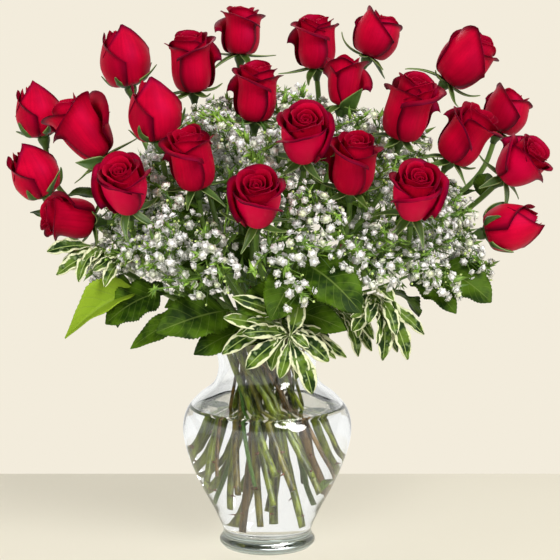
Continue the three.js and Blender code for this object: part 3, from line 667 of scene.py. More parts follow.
def inSheaf(slot, height):
    # where the stem of a slot is at a height; the stems stand straight and lean round each other
    lean = (sheaf["waistHeight"] - height) / sheaf["lean"]
    return np.array([slot[0] - lean * slot[1], slot[1] + lean * slot[0], height])


def reachOf(slot, height):
    # how far the stem of a slot is from the vase's axis at a height
    return np.linalg.norm(slot) * math.hypot(1, (sheaf["waistHeight"] - height) / sheaf["lean"])


def giveSlots(targets):
    # each stem gets the slot in the neck that keeps the stems in the order of where they lead
    count = len(targets)
    number = np.arange(count)
    radius = sheaf["waistRadius"] * np.sqrt((number + 0.5) / count)
    angle = number * math.pi * (3 - math.sqrt(5))    # the golden angle, which spreads them evenly
    slots = np.column_stack([radius * np.cos(angle), radius * np.sin(angle)])
    rim = sheaf["leavesVaseAt"]
    rise = sheaf["fanHeight"] - rim
    fan = np.array([[x * (rise / (z - rim)), y * (rise / (z - rim))] for x, y, z in targets])
    heads = np.array([inSheaf(slot, sheaf["fanHeight"])[:2] for slot in slots])
    cost = ((fan[:, None] - heads[None]) ** 2).sum(-1)
    chosen = list(range(count))
    swapped = True
    while swapped:
        swapped = False
        for i in range(count):
            for j in range(i + 1, count):
                now = cost[i, chosen[i]] + cost[j, chosen[j]]
                if cost[i, chosen[j]] + cost[j, chosen[i]] < now - 1e-12:
                    chosen[i], chosen[j] = chosen[j], chosen[i]
                    swapped = True
    return [slots[k] for k in chosen]


def straightStretch(slot, radius, lowest):
    # from the cut end, which is just off the floor or where the stem meets the wall, to just above the rim
    waist, rim, straight = sheaf["waistHeight"], sheaf["leavesVaseAt"], sheaf["straightAtRim"]
    end = lowest
    while reachOf(slot, end) > innerRadius(end) - radius - sheaf["wallClearance"]:
        end += 0.001
    heights = (end, (end + waist) / 2, waist, rim - straight, rim + straight)
    return [inSheaf(slot, height) for height in heights]


# each rose: the middle of its bloom, its lean, the angle from +x that it leans towards, its form, radius and
# height, then where its first outer petal faces, how far that petal flares, and to which side its petals lap
roseWords = ("middle", "lean", "toward", "form", "radius", "height", "turn", "flare", "hand")
roseTable = [
    ((-0.139, 0.050, 0.468), 13, 190, "bud", 0.024, 0.058, 42, 0.0, 1),
    ((-0.071, 0.015, 0.464), 15, -100, "cup", 0.025, 0.056, -30, 0.9, -1),
    ((-0.025, 0.070, 0.493), 3, 0, "cup", 0.023, 0.046, -130, 0.9, 1),
    ((-0.010, -0.015, 0.437), 14, -80, "cup", 0.024, 0.054, -150, 0.9, 1),
    ((-0.223, 0.045, 0.417), 14, 190, "bud", 0.021, 0.052, 46, 0.0, 1),
    ((-0.174, 0.000, 0.403), 34, 186, "trumpet", 0.031, 0.068, -60, 0.9, -1),
    ((-0.105, -0.035, 0.421), 12, 190, "bud", 0.024, 0.058, 38, 0.0, 1),
    ((-0.222, 0.005, 0.361), 30, 186, "bud", 0.022, 0.052, 44, 0.0, 1),
    ((-0.184, -0.040, 0.322), 80, 200, "cup", 0.023, 0.048, -60, 0.9, -1),
    ((-0.128, -0.092, 0.356), 42, -100, "open", 0.025, 0.062, -120, 0.3, 1),
    ((-0.068, -0.075, 0.379), 22, -115, "cup", 0.025, 0.056, -150, 0.9, 1),
    ((-0.008, -0.133, 0.348), 42, -90, "open", 0.025, 0.060, -110, 0.4, 1),
    ((0.034, -0.113, 0.403), 40, -88, "open", 0.025, 0.060, -80, 0.3, -1),
    ((0.047, 0.060, 0.482), 10, -100, "cup", 0.024, 0.050, -150, 1.0, 1),
    ((0.074, 0.015, 0.447), 8, 0, "trumpet", 0.023, 0.050, -30, 0.8, -1),
    ((0.109, 0.095, 0.489), 24, 0, "opening", 0.0235, 0.047, -34, 0.0, 1),
    ((0.131, -0.045, 0.424), 24, -55, "cup", 0.027, 0.061, -20, 1.2, -1),
    ((0.078, -0.090, 0.376), 26, -80, "cup", 0.025, 0.054, -150, 0.9, 1),
    ((0.133, -0.112, 0.352), 42, -82, "open", 0.025, 0.060, -70, 0.4, -1),
    ((0.192, 0.035, 0.467), 42, -12, "opening", 0.0245, 0.060, -14, 0.5, 1),
    ((0.186, -0.025, 0.397), 34, -25, "cup", 0.026, 0.056, -40, 1.4, 1),
    ((0.234, 0.060, 0.416), 24, 0, "opening", 0.0225, 0.045, -38, 0.0, 1),
    ((0.240, -0.005, 0.371), 50, -35, "open", 0.025, 0.052, -100, 0.2, 1),
    ((0.231, -0.015, 0.312), 74, -6, "bud", 0.022, 0.054, 30, 0.0, 1),
]
roses = [dict(zip(roseWords, row)) for row in roseTable]


def axisOf(rose):
    lean, toward = math.radians(rose["lean"]), math.radians(rose["toward"])
    return np.array([math.sin(lean) * math.cos(toward), math.sin(lean) * math.sin(toward), math.cos(lean)])


def neckOf(rose):
    return np.array(rose["middle"]) - axisOf(rose) * rose["height"] / 2


def bendOf(rose):
    return neckOf(rose) - axisOf(rose) * sheaf["bend"]


# each form's rows of petals, from the heart outwards; a pair is for a row's first petal and its last
# belly and rim are radii in bloom radii, top is in bloom heights, span is half the angle that a petal wraps,
# curl is how far its edge rolls back, lip is how much of it rolls, and drop is how much shorter its sides are
petalRows = {
    "bud": [
        {"count": 4, "belly": (0.20, 0.42), "rim": (0.05, 0.16), "top": (0.93, 0.96),
         "span": (165, 125), "curl": (0, 5), "lip": 0.06, "drop": (0.10, 0.20)},
        {"count": 3, "belly": (0.62, 0.76), "rim": (0.20, 0.34), "top": (1.00, 0.94),
         "span": (112, 104), "curl": (10, 30), "lip": 0.08, "drop": (0.28, 0.34)},
        {"count": 3, "belly": (0.93, 1.00), "rim": (0.38, 0.34), "top": (0.86, 1.03),
         "span": (112, 106), "curl": (130, 25), "lip": 0.11, "drop": (0.34, 0.50)},
    ],
    "opening": [
        {"count": 5, "belly": (0.14, 0.36), "rim": (0.07, 0.27), "top": (0.86, 0.92),
         "span": (165, 115), "curl": (0, 20), "lip": 0.05, "drop": (0.04, 0.10)},
        {"count": 3, "belly": (0.54, 0.68), "rim": (0.42, 0.54), "top": (0.97, 0.95),
         "span": (110, 102), "curl": (25, 50), "lip": 0.08, "drop": (0.14, 0.20)},
        {"count": 3, "belly": (0.90, 0.98), "rim": (0.62, 0.74), "top": (0.88, 1.00),
         "span": (110, 104), "curl": (110, 50), "lip": 0.11, "drop": (0.22, 0.32)},
    ],
    "cup": [
        {"count": 5, "belly": (0.13, 0.30), "rim": (0.07, 0.27), "top": (0.90, 0.97),
         "span": (165, 112), "curl": (0, 30), "lip": 0.05, "drop": (0.04, 0.10)},
        {"count": 3, "belly": (0.40, 0.47), "rim": (0.38, 0.46), "top": (1.00, 1.02),
         "span": (105, 98), "curl": (40, 60), "lip": 0.08, "drop": (0.10, 0.14)},
        {"count": 3, "belly": (0.55, 0.61), "rim": (0.54, 0.62), "top": (1.02, 0.99),
         "span": (100, 95), "curl": (60, 85), "lip": 0.12, "drop": (0.12, 0.16)},
        {"count": 3, "belly": (0.72, 0.78), "rim": (0.72, 0.79), "top": (0.98, 0.90),
         "span": (98, 92), "curl": (90, 125), "lip": 0.17, "drop": (0.13, 0.18)},
    ],
    "trumpet": [
        {"count": 4, "belly": (0.14, 0.32), "rim": (0.06, 0.26), "top": (0.88, 0.94),
         "span": (165, 112), "curl": (0, 30), "lip": 0.05, "drop": (0.06, 0.12)},
        {"count": 3, "belly": (0.40, 0.50), "rim": (0.36, 0.48), "top": (0.97, 0.99),
         "span": (105, 98), "curl": (25, 50), "lip": 0.09, "drop": (0.18, 0.24)},
        {"count": 4, "belly": (0.60, 0.72), "rim": (0.68, 0.84), "top": (1.00, 0.93),
         "span": (94, 88), "curl": (70, 115), "lip": 0.20, "drop": (0.24, 0.30)},
    ],
    "open": [
        {"count": 6, "belly": (0.13, 0.34), "rim": (0.08, 0.31), "top": (0.80, 0.88),
         "span": (170, 112), "curl": (0, 35), "lip": 0.05, "drop": (0.03, 0.08)},
        {"count": 3, "belly": (0.42, 0.50), "rim": (0.39, 0.48), "top": (0.91, 0.95),
         "span": (104, 98), "curl": (50, 70), "lip": 0.08, "drop": (0.10, 0.14)},
        {"count": 3, "belly": (0.60, 0.68), "rim": (0.58, 0.66), "top": (0.97, 0.95),
         "span": (92, 86), "curl": (70, 95), "lip": 0.10, "drop": (0.14, 0.18)},
        {"count": 4, "belly": (0.78, 0.84), "rim": (0.74, 0.82), "top": (0.94, 0.86),
         "span": (80, 74), "curl": (90, 120), "lip": 0.15, "drop": (0.20, 0.26)},
    ],
}
# how each form's petals rise: low is [share of the way from foot to belly, height], and waist the same from
# belly to rim; tip and sides are how much of the roll they take, claw is how wide a petal is at its foot, and
# twist is how far its tip is drawn to one side, in radians; where glow is 1, the outer petals get painted
# light
petalForms = {
    "bud": {
        "low": (0.70, 0.09), "belly": 0.42, "waist": (0.36, 0.75),
        "tip": 1.0, "sides": 0.12, "pointed": (1.0, 1.2), "claw": 0.85, "twist": 0.5, "glow": 0,
    },
    "opening": {
        "low": (0.68, 0.09), "belly": 0.44, "waist": (0.40, 0.78),
        "tip": 0.9, "sides": 0.5, "pointed": (1.3, 1.6), "claw": 0.50, "twist": 0.0, "glow": 0,
    },
    "cup": {
        "low": (0.76, 0.07), "belly": 0.28, "waist": (-0.20, 0.62),
        "tip": 0.55, "sides": 1.2, "pointed": (2.0, 2.8), "claw": 0.50, "twist": 0.0, "glow": 0,
    },
    "trumpet": {
        "low": (0.62, 0.10), "belly": 0.40, "waist": (0.30, 0.72),
        "tip": 0.7, "sides": 1.0, "pointed": (1.3, 1.7), "claw": 0.50, "twist": 0.0, "glow": 0,
    },
    "open": {
        "low": (0.58, 0.12), "belly": 0.50, "waist": (0.60, 0.78),
        "tip": 0.85, "sides": 1.0, "pointed": (1.6, 2.4), "claw": 0.50, "twist": 0.0, "glow": 1,
    },
}
petalShape = {
    "rows": 24,
    "columns": 17,
    "thickness": (0.0010, 0.0004),     # at the foot and at the edge
    "lap": 0.09,              # how much further out one side of a petal stands
    "offCentre": 0.12,        # how far a petal's tip may be from its middle
    "lips": (0.85, 1.15),     # how the lips differ from their row's, and the curls from theirs
    "curls": (0.8, 1.15),
    "ripple": 0.014,
    "ripples": (2.4, 4.9),    # how many there are, in two sizes
    "broadFrom": 0.6,         # from where a petal has its full span
    "narrower": 0.12,         # what it loses of it up to its edge
    "askew": 0.1,
    "heartTurn": 137.5,       # from each petal of the heart to the next, in degrees
    "unevenTurn": 0.15,
    "flareCurl": 50,          # what a flare of 1 adds to the first outer petal's curl, in degrees
    "flareRim": 0.2,          # and to its rim
}


def petalProfile(rose, belly, rim, top):
    # the middle line of a petal from its foot to its tip, as [distance from the bloom's axis, height]
    form = petalForms[rose["form"]]
    foot = min(0.15, belly * 0.6)
    low, waist = form["low"], form["waist"]
    return curveThrough([
        (foot, 0.01), (foot + (belly - foot) * low[0], low[1] * top), (belly, form["belly"] * top),
        (belly + (rim - belly) * waist[0], waist[1] * top), (rim, top),
    ], 60) * (rose["radius"], rose["height"])


def petal(rose, row, turn, depth, luck):
    # u runs across the petal, and s from its foot to its edge, which is lower at the sides
    form, shape = petalForms[rose["form"]], petalShape
    v = 1 - (1 - np.linspace(0, 1, shape["rows"])[:, None]) ** 1.5
    u = np.linspace(-1, 1, shape["columns"])[None, :]
    profile = petalProfile(rose, row["belly"], row["rim"], row["top"])
    length = np.linalg.norm(np.diff(profile, axis=0), axis=1).sum()
    share = np.linspace(0, 1, len(profile))
    slope = unit(np.gradient(profile, axis=0))
    lean = luck.uniform(-shape["offCentre"], shape["offCentre"])
    reach = 1 - row["drop"] * np.abs(u + lean * (1 - u**2)) ** luck.uniform(*form["pointed"])
    s = v * reach
    # the lip leaves the profile and rolls back along an arc
    lip = row["lip"] * luck.uniform(*shape["lips"])
    held = np.minimum(s, reach - lip)
    past = (s - held) * length
    tipRoll, sideRoll = form["tip"] * (1 - u**2) ** 1.5, form["sides"] * np.maximum(u, 0) ** 1.4
    roll = np.radians(row["curl"]) * (tipRoll + sideRoll)
    roll = roll * luck.uniform(*shape["curls"]) * past / (lip * length)
    r, z = (np.interp(held, share, profile[:, k]) for k in (0, 1))
    ahead, rise = (np.interp(held, share, slope[:, k]) for k in (0, 1))
    straight = past * np.sinc(roll / np.pi)
    bent = past * np.sinc(roll / (2 * np.pi)) * np.sin(roll / 2)
    r = r + straight * ahead + bent * rise
    z = z + straight * rise - bent * ahead
    # it laps over the next petal, and its edge waves
    few, many = shape["ripples"]
    wave = np.sin(few * np.pi * u + luck.uniform(0, 6)) + 0.5 * np.sin(many * np.pi * u + luck.uniform(0, 6))
    r = r * (1 + shape["lap"] * u) + rose["radius"] * shape["ripple"] * wave * s**3
    z = z + rose["radius"] * shape["ripple"] * np.roll(wave, 2) * s**4
    claw = form["claw"]
    width = claw + (1 - claw) * np.sin(np.pi / 2 * np.minimum(1, s / shape["broadFrom"])) ** 1.3
    angle = turn + rose["hand"] * np.radians(row["span"]) * u * width * (1 - shape["narrower"] * s**3)
    angle = angle + luck.uniform(-shape["askew"], shape["askew"]) * s + form["twist"] * s**3
    grid = np.stack([r * np.cos(angle), r * np.sin(angle), z], -1)
    thick, thin = shape["thickness"]
    return sheet(grid, u, v, depth, thick + (thin - thick) * s)


def bloom(rose, luck):
    rows, shape = petalRows[rose["form"]], petalShape
    parts = []
    spin = luck.uniform(0, 2 * math.pi)
    for number, row in enumerate(rows):
        outermost = number == len(rows) - 1
        for k in range(row["count"]):
            share = k / max(1, row["count"] - 1)
            spec = {"lip": row["lip"]}
            for key in ("belly", "rim", "top", "span", "curl", "drop"):
                first, last = row[key]
                spec[key] = first + (last - first) * share
            if number == 0:
                spin += rose["hand"] * math.radians(shape["heartTurn"])
            else:
                uneven = luck.uniform(-shape["unevenTurn"], shape["unevenTurn"])
                spin += rose["hand"] * (2 * math.pi / row["count"] + uneven)
            if outermost and k == 0:
                spin = math.radians(rose["turn"])
                spec["curl"] += shape["flareCurl"] * rose["flare"]
                spec["rim"] *= 1 + shape["flareRim"] * rose["flare"]
            depth = number / (len(rows) - 1) * 0.8 + luck.uniform(0, 0.2)
            # the outer petals of the open roses are marked for painted light
            if outermost:
                depth += petalForms[rose["form"]]["glow"]
            parts.append(petal(rose, spec, spin, depth, luck))
    return [placed(part, neckOf(rose), axisOf(rose)) for part in parts]


sepals = {
    "hip": [
        (0, -0.0130), (0.0030, -0.0127), (0.0037, -0.0095), (0.0056, -0.0055), (0.0062, -0.0020),
        (0.0048, 0.0006), (0, 0.0014),
    ],
    "count": 5,
    "length": (0.025, 0.038),
    "first": -126,            # where the first one faces, so that none stands straight before the bloom
    "from": (0.0042, -0.0012),         # the radius and height at which they leave the hip
    "width": {"bud": 0.0112, "others": 0.0086},
    "start": {"bud": (0.05, 0.45), "others": (-0.4, -0.1)},
    "droop": {"bud": (-1.1, -0.2), "others": (-0.9, 0.5)},
    "tipCurl": (-0.4, 0.9),
    "uneven": (0.15, 0.2),    # how far all five turn together, and each by itself
    "sway": 0.35,
    "cup": 0.5,
    "clearance": 0.0014,      # how far the sepals stay off the petals
    "rows": 16,
}


def ribbon(path, width, face, chance, cup, columns=5, thickness=0.0007):
    # a leafy ribbon along a path; width is a list of half widths, and cup bends its edges towards its face
    path, width = np.asarray(path), np.asarray(width)[:, None]
    way = unit(np.gradient(path, axis=0))
    side = unit(np.cross(way, face))
    up = unit(np.cross(side, way))
    u = np.linspace(-1, 1, columns)[None, :]
    bent = (cup * width * u**2)[..., None]
    grid = path[:, None] + side[:, None] * (u * width)[..., None] + up[:, None] * bent
    return sheet(grid, u, np.linspace(0, 1, len(path))[:, None], chance, np.full((1, 1), thickness))


def calyx(rose, luck):
    # the hip under the bloom, and the sepals, which bend with the petals' outside where they rise beside them
    axis, foot = axisOf(rose), neckOf(rose)
    parts = [placed(lathe(sepals["hip"], 12, 0.3), foot, axis)]
    parts[0]["grain"][:, 0] = 0
    outer = petalRows[rose["form"]][-1]
    side = petalProfile(rose, max(outer["belly"]), max(outer["rim"]), max(outer["top"]))
    kind = rose["form"] if rose["form"] in sepals["start"] else "others"
    together, alone = sepals["uneven"]
    spin = math.radians(sepals["first"]) + luck.uniform(-together, together)
    for k in range(sepals["count"]):
        angle = spin + 2 * math.pi * k / sepals["count"] + luck.uniform(-alone, alone)
        out = np.array([math.cos(angle), math.sin(angle), 0])
        across = np.array([-out[1], out[0], 0])
        length = luck.uniform(*sepals["length"])
        start, droop = (luck.uniform(*sepals[key][kind]) for key in ("start", "droop"))
        t = np.linspace(0, 1, sepals["rows"])
        tilt = start - 0.9 * droop * t + luck.uniform(*sepals["tipCurl"]) * t**2
        step = length / (len(t) - 1)
        reach = sepals["from"][0] + np.concatenate([[0], np.cumsum(np.cos(tilt[1:]) * step)])
        rise = sepals["from"][1] + np.concatenate([[0], np.cumsum(np.sin(tilt[1:]) * step)])
        beside = np.interp(rise, side[:, 1], side[:, 0] * (1 + petalShape["lap"])) + sepals["clearance"]
        reach = np.where(rise > side[0, 1], np.maximum(reach, beside), reach)
        sway = luck.uniform(-sepals["sway"], sepals["sway"]) * length * t**2
        path = reach[:, None] * out + sway[:, None] * across + rise[:, None] * np.array([0, 0, 1.0])
        taper = (0.55 + 0.45 * np.sin(np.pi * np.minimum(1, t * 1.3) ** 0.8)) * (1 - t) ** 0.5
        width = sepals["width"][kind] / 2 * taper + 0.0003
        parts.append(placed(ribbon(path, width, (0, 0, 1), luck.random(), sepals["cup"]), foot, axis))
    return parts


thorns = {
    "spacing": 0.034,
    "length": 0.0055,
    "radius": 0.0019,
    "sizes": (0.6, 1.15),
    "hook": 0.35,             # how far its tip points down, for its length
    "sunk": 0.0006,
    "noneBetween": (0.12, 0.225),      # the heights at which the stems crowd in the neck
    "noneNearBloom": 6,       # how many of the stem's steps are bare below the bloom
}
roseStemShape = {
    "steps": 56,
    "sides": 12,
    "taper": (1.04, 0.16),    # its thickness at the cut end, and what it loses up to the bloom
    "knots": (0.16, 0.37, 0.58, 0.77),
    "knotSize": (0.10, 0.006),
}


def thorn(place, way, out, luck):
    length = thorns["length"] * luck.uniform(*thorns["sizes"])
    tip = place + out * length - way * length * thorns["hook"]
    path = np.array([place - out * thorns["sunk"], place + out * length * 0.4 - way * length * 0.04, tip])
    radii = thorns["radius"] * np.array([[1.0, 0.42, 0.05]])
    return tubes(path[None], radii, 6, stemLook["thornChance"])


def roseStem(rose, slot, luck):
    shape, steps = roseStemShape, roseStemShape["steps"]
    low = straightStretch(slot, sheaf["roseRadius"], luck.uniform(*sheaf["roseEnd"]))
    path = curveThrough([*low, bendOf(rose), neckOf(rose) - axisOf(rose) * 0.004], steps)
    t = np.linspace(0, 1, len(path))
    thicker, spread = shape["knotSize"]
    knots = sum(np.exp(-((t - place) / spread) ** 2) for place in shape["knots"])
    full, loss = shape["taper"]
    radii = sheaf["roseRadius"] * (full - loss * t + thicker * knots)
    parts = [tubes(path[None], radii[None], shape["sides"], luck.random())]
    way = unit(np.gradient(path, axis=0))
    total = np.linalg.norm(np.diff(path, axis=0), axis=1).sum()
    lowest, highest = thorns["noneBetween"]
    angle = luck.uniform(0, 6)
    for k in range(int(total / thorns["spacing"])):
        at = int((k + luck.uniform(0.3, 0.9)) * thorns["spacing"] / total * (len(path) - 1))
        angle += 2.4
        helper = unit(np.cross(way[at], (0.3, 0.5, 0.1)))
        out = helper * math.cos(angle) + np.cross(way[at], helper) * math.sin(angle)
        if at < steps - thorns["noneNearBloom"] and not lowest < path[at][2] < highest:
            parts.append(thorn(path[at] + out * radii[at] * 0.8, way[at], out, luck))
    return parts, path


# a leaf's outline is [share of its length, share of its half width]; fold lifts its halves, arch bows it
leafForms = {
    "rose": {
        "outline": [
            (0, 0.04), (0.08, 0.08), (0.16, 0.55), (0.38, 1.0), (0.60, 0.88), (0.84, 0.42), (1, 0.03),
        ],
        "rows": 61, "columns": 9, "thickness": 0.0007, "fold": 0.3, "arch": 0.12,
        "wave": 0.0008, "waves": 7, "teeth": 15, "toothDepth": 0.10,
    },
    "bract": {
        "outline": [(0, 0.3), (0.2, 0.75), (0.42, 1.0), (0.75, 0.6), (1, 0.03)],
        "rows": 21, "columns": 9, "thickness": 0.0008, "fold": 0.3, "arch": 0.12,
        "wave": 0.0006, "waves": 7, "teeth": 0, "toothDepth": 0,
    },
    "lemon": {
        "outline": [
            (0, 0.05), (0.08, 0.07), (0.13, 0.40), (0.24, 0.86), (0.40, 1.0), (0.58, 0.96), (0.76, 0.76),
            (0.90, 0.42), (1, 0.03),
        ],
        "rows": 97, "columns": 13, "thickness": 0.0008, "fold": 0.20, "arch": 0.12,
        "wave": 0.0032, "waves": 9, "teeth": 24, "toothDepth": 0.10,
    },
    "folded": {
        "outline": [
            (0, 0.05), (0.10, 0.06), (0.17, 0.22), (0.28, 0.80), (0.42, 1.0), (0.58, 0.90), (0.74, 0.60),
            (0.88, 0.24), (1, 0.03),
        ],
        "rows": 97, "columns": 13, "thickness": 0.0008, "fold": 1.1, "arch": 0.12,
        "wave": 0.0022, "waves": 9, "teeth": 24, "toothDepth": 0.06,
    },
    "pittosporum": {
        "outline": [
            (0, 0.10), (0.14, 0.16), (0.30, 0.50), (0.55, 0.96), (0.72, 1.0), (0.88, 0.72), (1, 0.12),
        ],
        "rows": 25, "columns": 9, "thickness": 0.0008, "fold": 0.40, "arch": 0.16,
        "wave": 0.0022, "waves": 13, "teeth": 0, "toothDepth": 0,
    },
}


def leaf(base, tip, width, form, facing, chance, luck):
    base, tip = np.array(base), np.array(tip)
    along = tip - base
    length = np.linalg.norm(along)
    side = unit(np.cross(along, facing))
    face = unit(np.cross(side, along))
    v = np.linspace(0, 1, form["rows"])[:, None]
    u = np.linspace(-1, 1, form["columns"])[None, :]
    outline = curveThrough(form["outline"], 80)
    half = np.interp(v, outline[:, 0], outline[:, 1]) * width / 2
    saw = form["teeth"] * v % 1
    half = half * (1 + form["toothDepth"] * (saw - 0.5) * (np.abs(u) > 0.95))
    bow = form["arch"] * length * np.sin(np.pi * v)
    wave = np.sin(form["waves"] * v * 2 + luck.uniform(0, 6)) * np.sin(np.pi * v)
    lift = bow + form["fold"] * half * np.abs(u) + form["wave"] * u * np.abs(u) * wave
    sway = 0.03 * length * np.sin(np.pi * v) * luck.uniform(-1, 1)
    grid = base + along * v[..., None] + side * (u * half + sway)[..., None] + face * lift[..., None]
    return sheet(grid, u, v, chance, np.full((1, 1), form["thickness"]))


def facingOf(base, tip):
    # leaves face up and outwards, and the more so to the side that they point to
    middle = (base + tip) / 2
    out = unit(np.array([middle[0], middle[1], 0])) * 0.5
    return out + np.array([0, 0.8 * np.clip(tip[1] / 0.040, -1, 1), 0.5])


leaflets = {
    "heights": (0.262, 0.292, 0.322),
    "uneven": 0.01,
    "length": (0.032, 0.046),
    "width": (0.017, 0.024),
    "rise": (-0.1, 0.9),
    "offBlooms": 0.002,
    "tone": 0.6,              # below this, lemonLeafFinish keeps a leaf dark
}


def roseLeaves(path, luck):
    # a few dark leaflets on the stretch of a rose stem that stands in the baby's breath
    blades = []
    for height in leaflets["heights"]:
        at = int(np.argmax(path[:, 2] > height + luck.uniform(-leaflets["uneven"], leaflets["uneven"])))
        angle = luck.uniform(-math.pi, math.pi)
        way = np.array([math.cos(angle), math.sin(angle), luck.uniform(*leaflets["rise"])])
        tip = path[at] + unit(way) * luck.uniform(*leaflets["length"])
        if clearOfBlooms(np.array([tip, (tip + path[at]) / 2]), leaflets["offBlooms"]).all():
            width, tone = luck.uniform(*leaflets["width"]), luck.random() * leaflets["tone"]
            blades.append(leaf(path[at], tip, width, leafForms["rose"], (0, -0.4, 1), tone, luck))
    return blades


# the roses with a leaf in front of the bloom: its length, how steeply it rises, and how far it leans aside
bracts = {
    "06": {"length": 0.034, "rise": 0.35, "aside": -0.020, "width": 0.015},
    "15": {"length": 0.036, "rise": 0.55, "aside": 0.016, "width": 0.015},
}


def bract(rose, spec, luck):
    axis, neck = axisOf(rose), neckOf(rose)
    out = unit(np.array([0, -1.0, 0]) + axis * axis[1])
    base = neck - axis * 0.006
    aside = np.cross(axis, out) * spec["aside"]
    tip = neck + axis * spec["length"] * spec["rise"] + out * (rose["radius"] * 0.9 + 0.004) + aside
    return leaf(base, tip, spec["width"], leafForms["bract"], out, 0.5, luck)


# the stem's points above the vase, then each leaf's place on the stem, tip and width; a fourth value makes it
# a folded leaf, and says how light it is
lemonLeaves = {
    "left": {
        "stem": [(-0.034, -0.056, 0.238), (-0.084, -0.062, 0.254), (-0.124, -0.046, 0.262)],
        "leaves": [
            (0.87, (-0.184, -0.078, 0.215), 0.034, 1.0), (0.75, (-0.147, -0.076, 0.228), 0.038),
            (0.30, (-0.099, -0.104, 0.225), 0.046), (0.42, (-0.125, -0.070, 0.204), 0.024),
            (0.12, (-0.066, -0.088, 0.202), 0.032), (0.98, (-0.170, -0.014, 0.230), 0.034),
            (0.70, (-0.144, 0.012, 0.210), 0.036), (0.05, (-0.030, -0.102, 0.214), 0.030),
        ],
    },
    "right": {
        "stem": [(0.060, 0, 0.236), (0.104, -0.024, 0.254), (0.158, -0.030, 0.276)],
        "leaves": [
            (1.00, (0.208, -0.050, 0.244), 0.044), (0.82, (0.174, -0.066, 0.236), 0.032),
            (0.90, (0.196, 0.026, 0.240), 0.040), (0.60, (0.146, 0.014, 0.220), 0.034),
            (0.20, (0.086, -0.064, 0.212), 0.030),
        ],
    },
    "front": {
        "stem": [(0.008, -0.060, 0.240), (0.022, -0.084, 0.262), (0.030, -0.100, 0.290)],
        "leaves": [
            (0.92, (0.004, -0.134, 0.241), 0.040), (1.00, (0.084, -0.136, 0.248), 0.046),
            (0.62, (-0.026, -0.120, 0.246), 0.034), (0.25, (0.058, -0.088, 0.204), 0.034),
            (0.45, (0.072, -0.098, 0.226), 0.034),
        ],
    },
    "back": {
        "stem": [(-0.012, 0.056, 0.238), (0, 0.084, 0.254), (0.006, 0.110, 0.262)],
        "leaves": [
            (0.82, (-0.066, 0.140, 0.226), 0.042), (0.70, (0.080, 0.134, 0.228), 0.042),
            (1.00, (0.006, 0.172, 0.226), 0.042), (0.50, (-0.104, 0.096, 0.216), 0.038),
            (0.35, (0.112, 0.092, 0.214), 0.038),
        ],
    },
}
pittosporum = {
    "front": {
        "stem": [(0.008, -0.058, 0.226), (0.014, -0.084, 0.233), (0.021, -0.106, 0.221)],
        "leaves": [
            (1.00, (0.030, -0.114, 0.257), 0.016), (0.96, (-0.021, -0.120, 0.227), 0.014),
            (0.90, (-0.038, -0.112, 0.240), 0.014), (0.97, (-0.018, -0.114, 0.194), 0.016),
            (0.99, (0.012, -0.118, 0.186), 0.012), (1.00, (0.041, -0.114, 0.171), 0.016),
            (0.92, (0.056, -0.106, 0.199), 0.017), (0.96, (0.038, -0.120, 0.214), 0.010),
            (0.78, (-0.040, -0.102, 0.205), 0.015), (0.70, (-0.030, -0.122, 0.260), 0.013),
            (0.64, (0.050, -0.104, 0.211), 0.011), (0.60, (0.063, -0.082, 0.197), 0.011),
            (0.55, (0.073, -0.076, 0.197), 0.011),
        ],
    },
    "right": {
        "stem": [(0.054, -0.044, 0.232), (0.080, -0.070, 0.250), (0.098, -0.084, 0.257)],
        "leaves": [
            (1.00, (0.077, -0.098, 0.225), 0.014), (0.97, (0.090, -0.112, 0.234), 0.012),
            (0.98, (0.105, -0.096, 0.198), 0.014), (1.00, (0.128, -0.092, 0.198), 0.015),
            (0.95, (0.143, -0.086, 0.220), 0.012), (1.00, (0.116, -0.112, 0.224), 0.013),
            (0.90, (0.083, -0.106, 0.248), 0.012), (1.00, (0.113, -0.120, 0.256), 0.012),
            (0.85, (0.120, -0.070, 0.201), 0.012), (0.60, (0.084, -0.072, 0.197), 0.011),
            (0.50, (0.097, -0.060, 0.200), 0.011),
        ],
    },
    "left": {
        "stem": [(-0.058, -0.042, 0.250), (-0.112, -0.052, 0.278), (-0.156, -0.050, 0.296)],
        "leaves": [
            (1.00, (-0.202, -0.054, 0.292), 0.014), (0.92, (-0.192, -0.068, 0.272), 0.014),
            (0.96, (-0.170, -0.084, 0.268), 0.013), (0.82, (-0.146, -0.088, 0.264), 0.013),
            (0.87, (-0.184, -0.026, 0.272), 0.013), (0.72, (-0.126, -0.088, 0.286), 0.013),
        ],
    },
}
smallLeaves = {
    "between": {"lemon": 0, "pittosporum": 1},    # how many grow between two of the leaves above
    "length": (0.55, 0.95),
    "width": (0.65, 0.95),
    "astray": 0.009,
    "turned": 0.7,
}


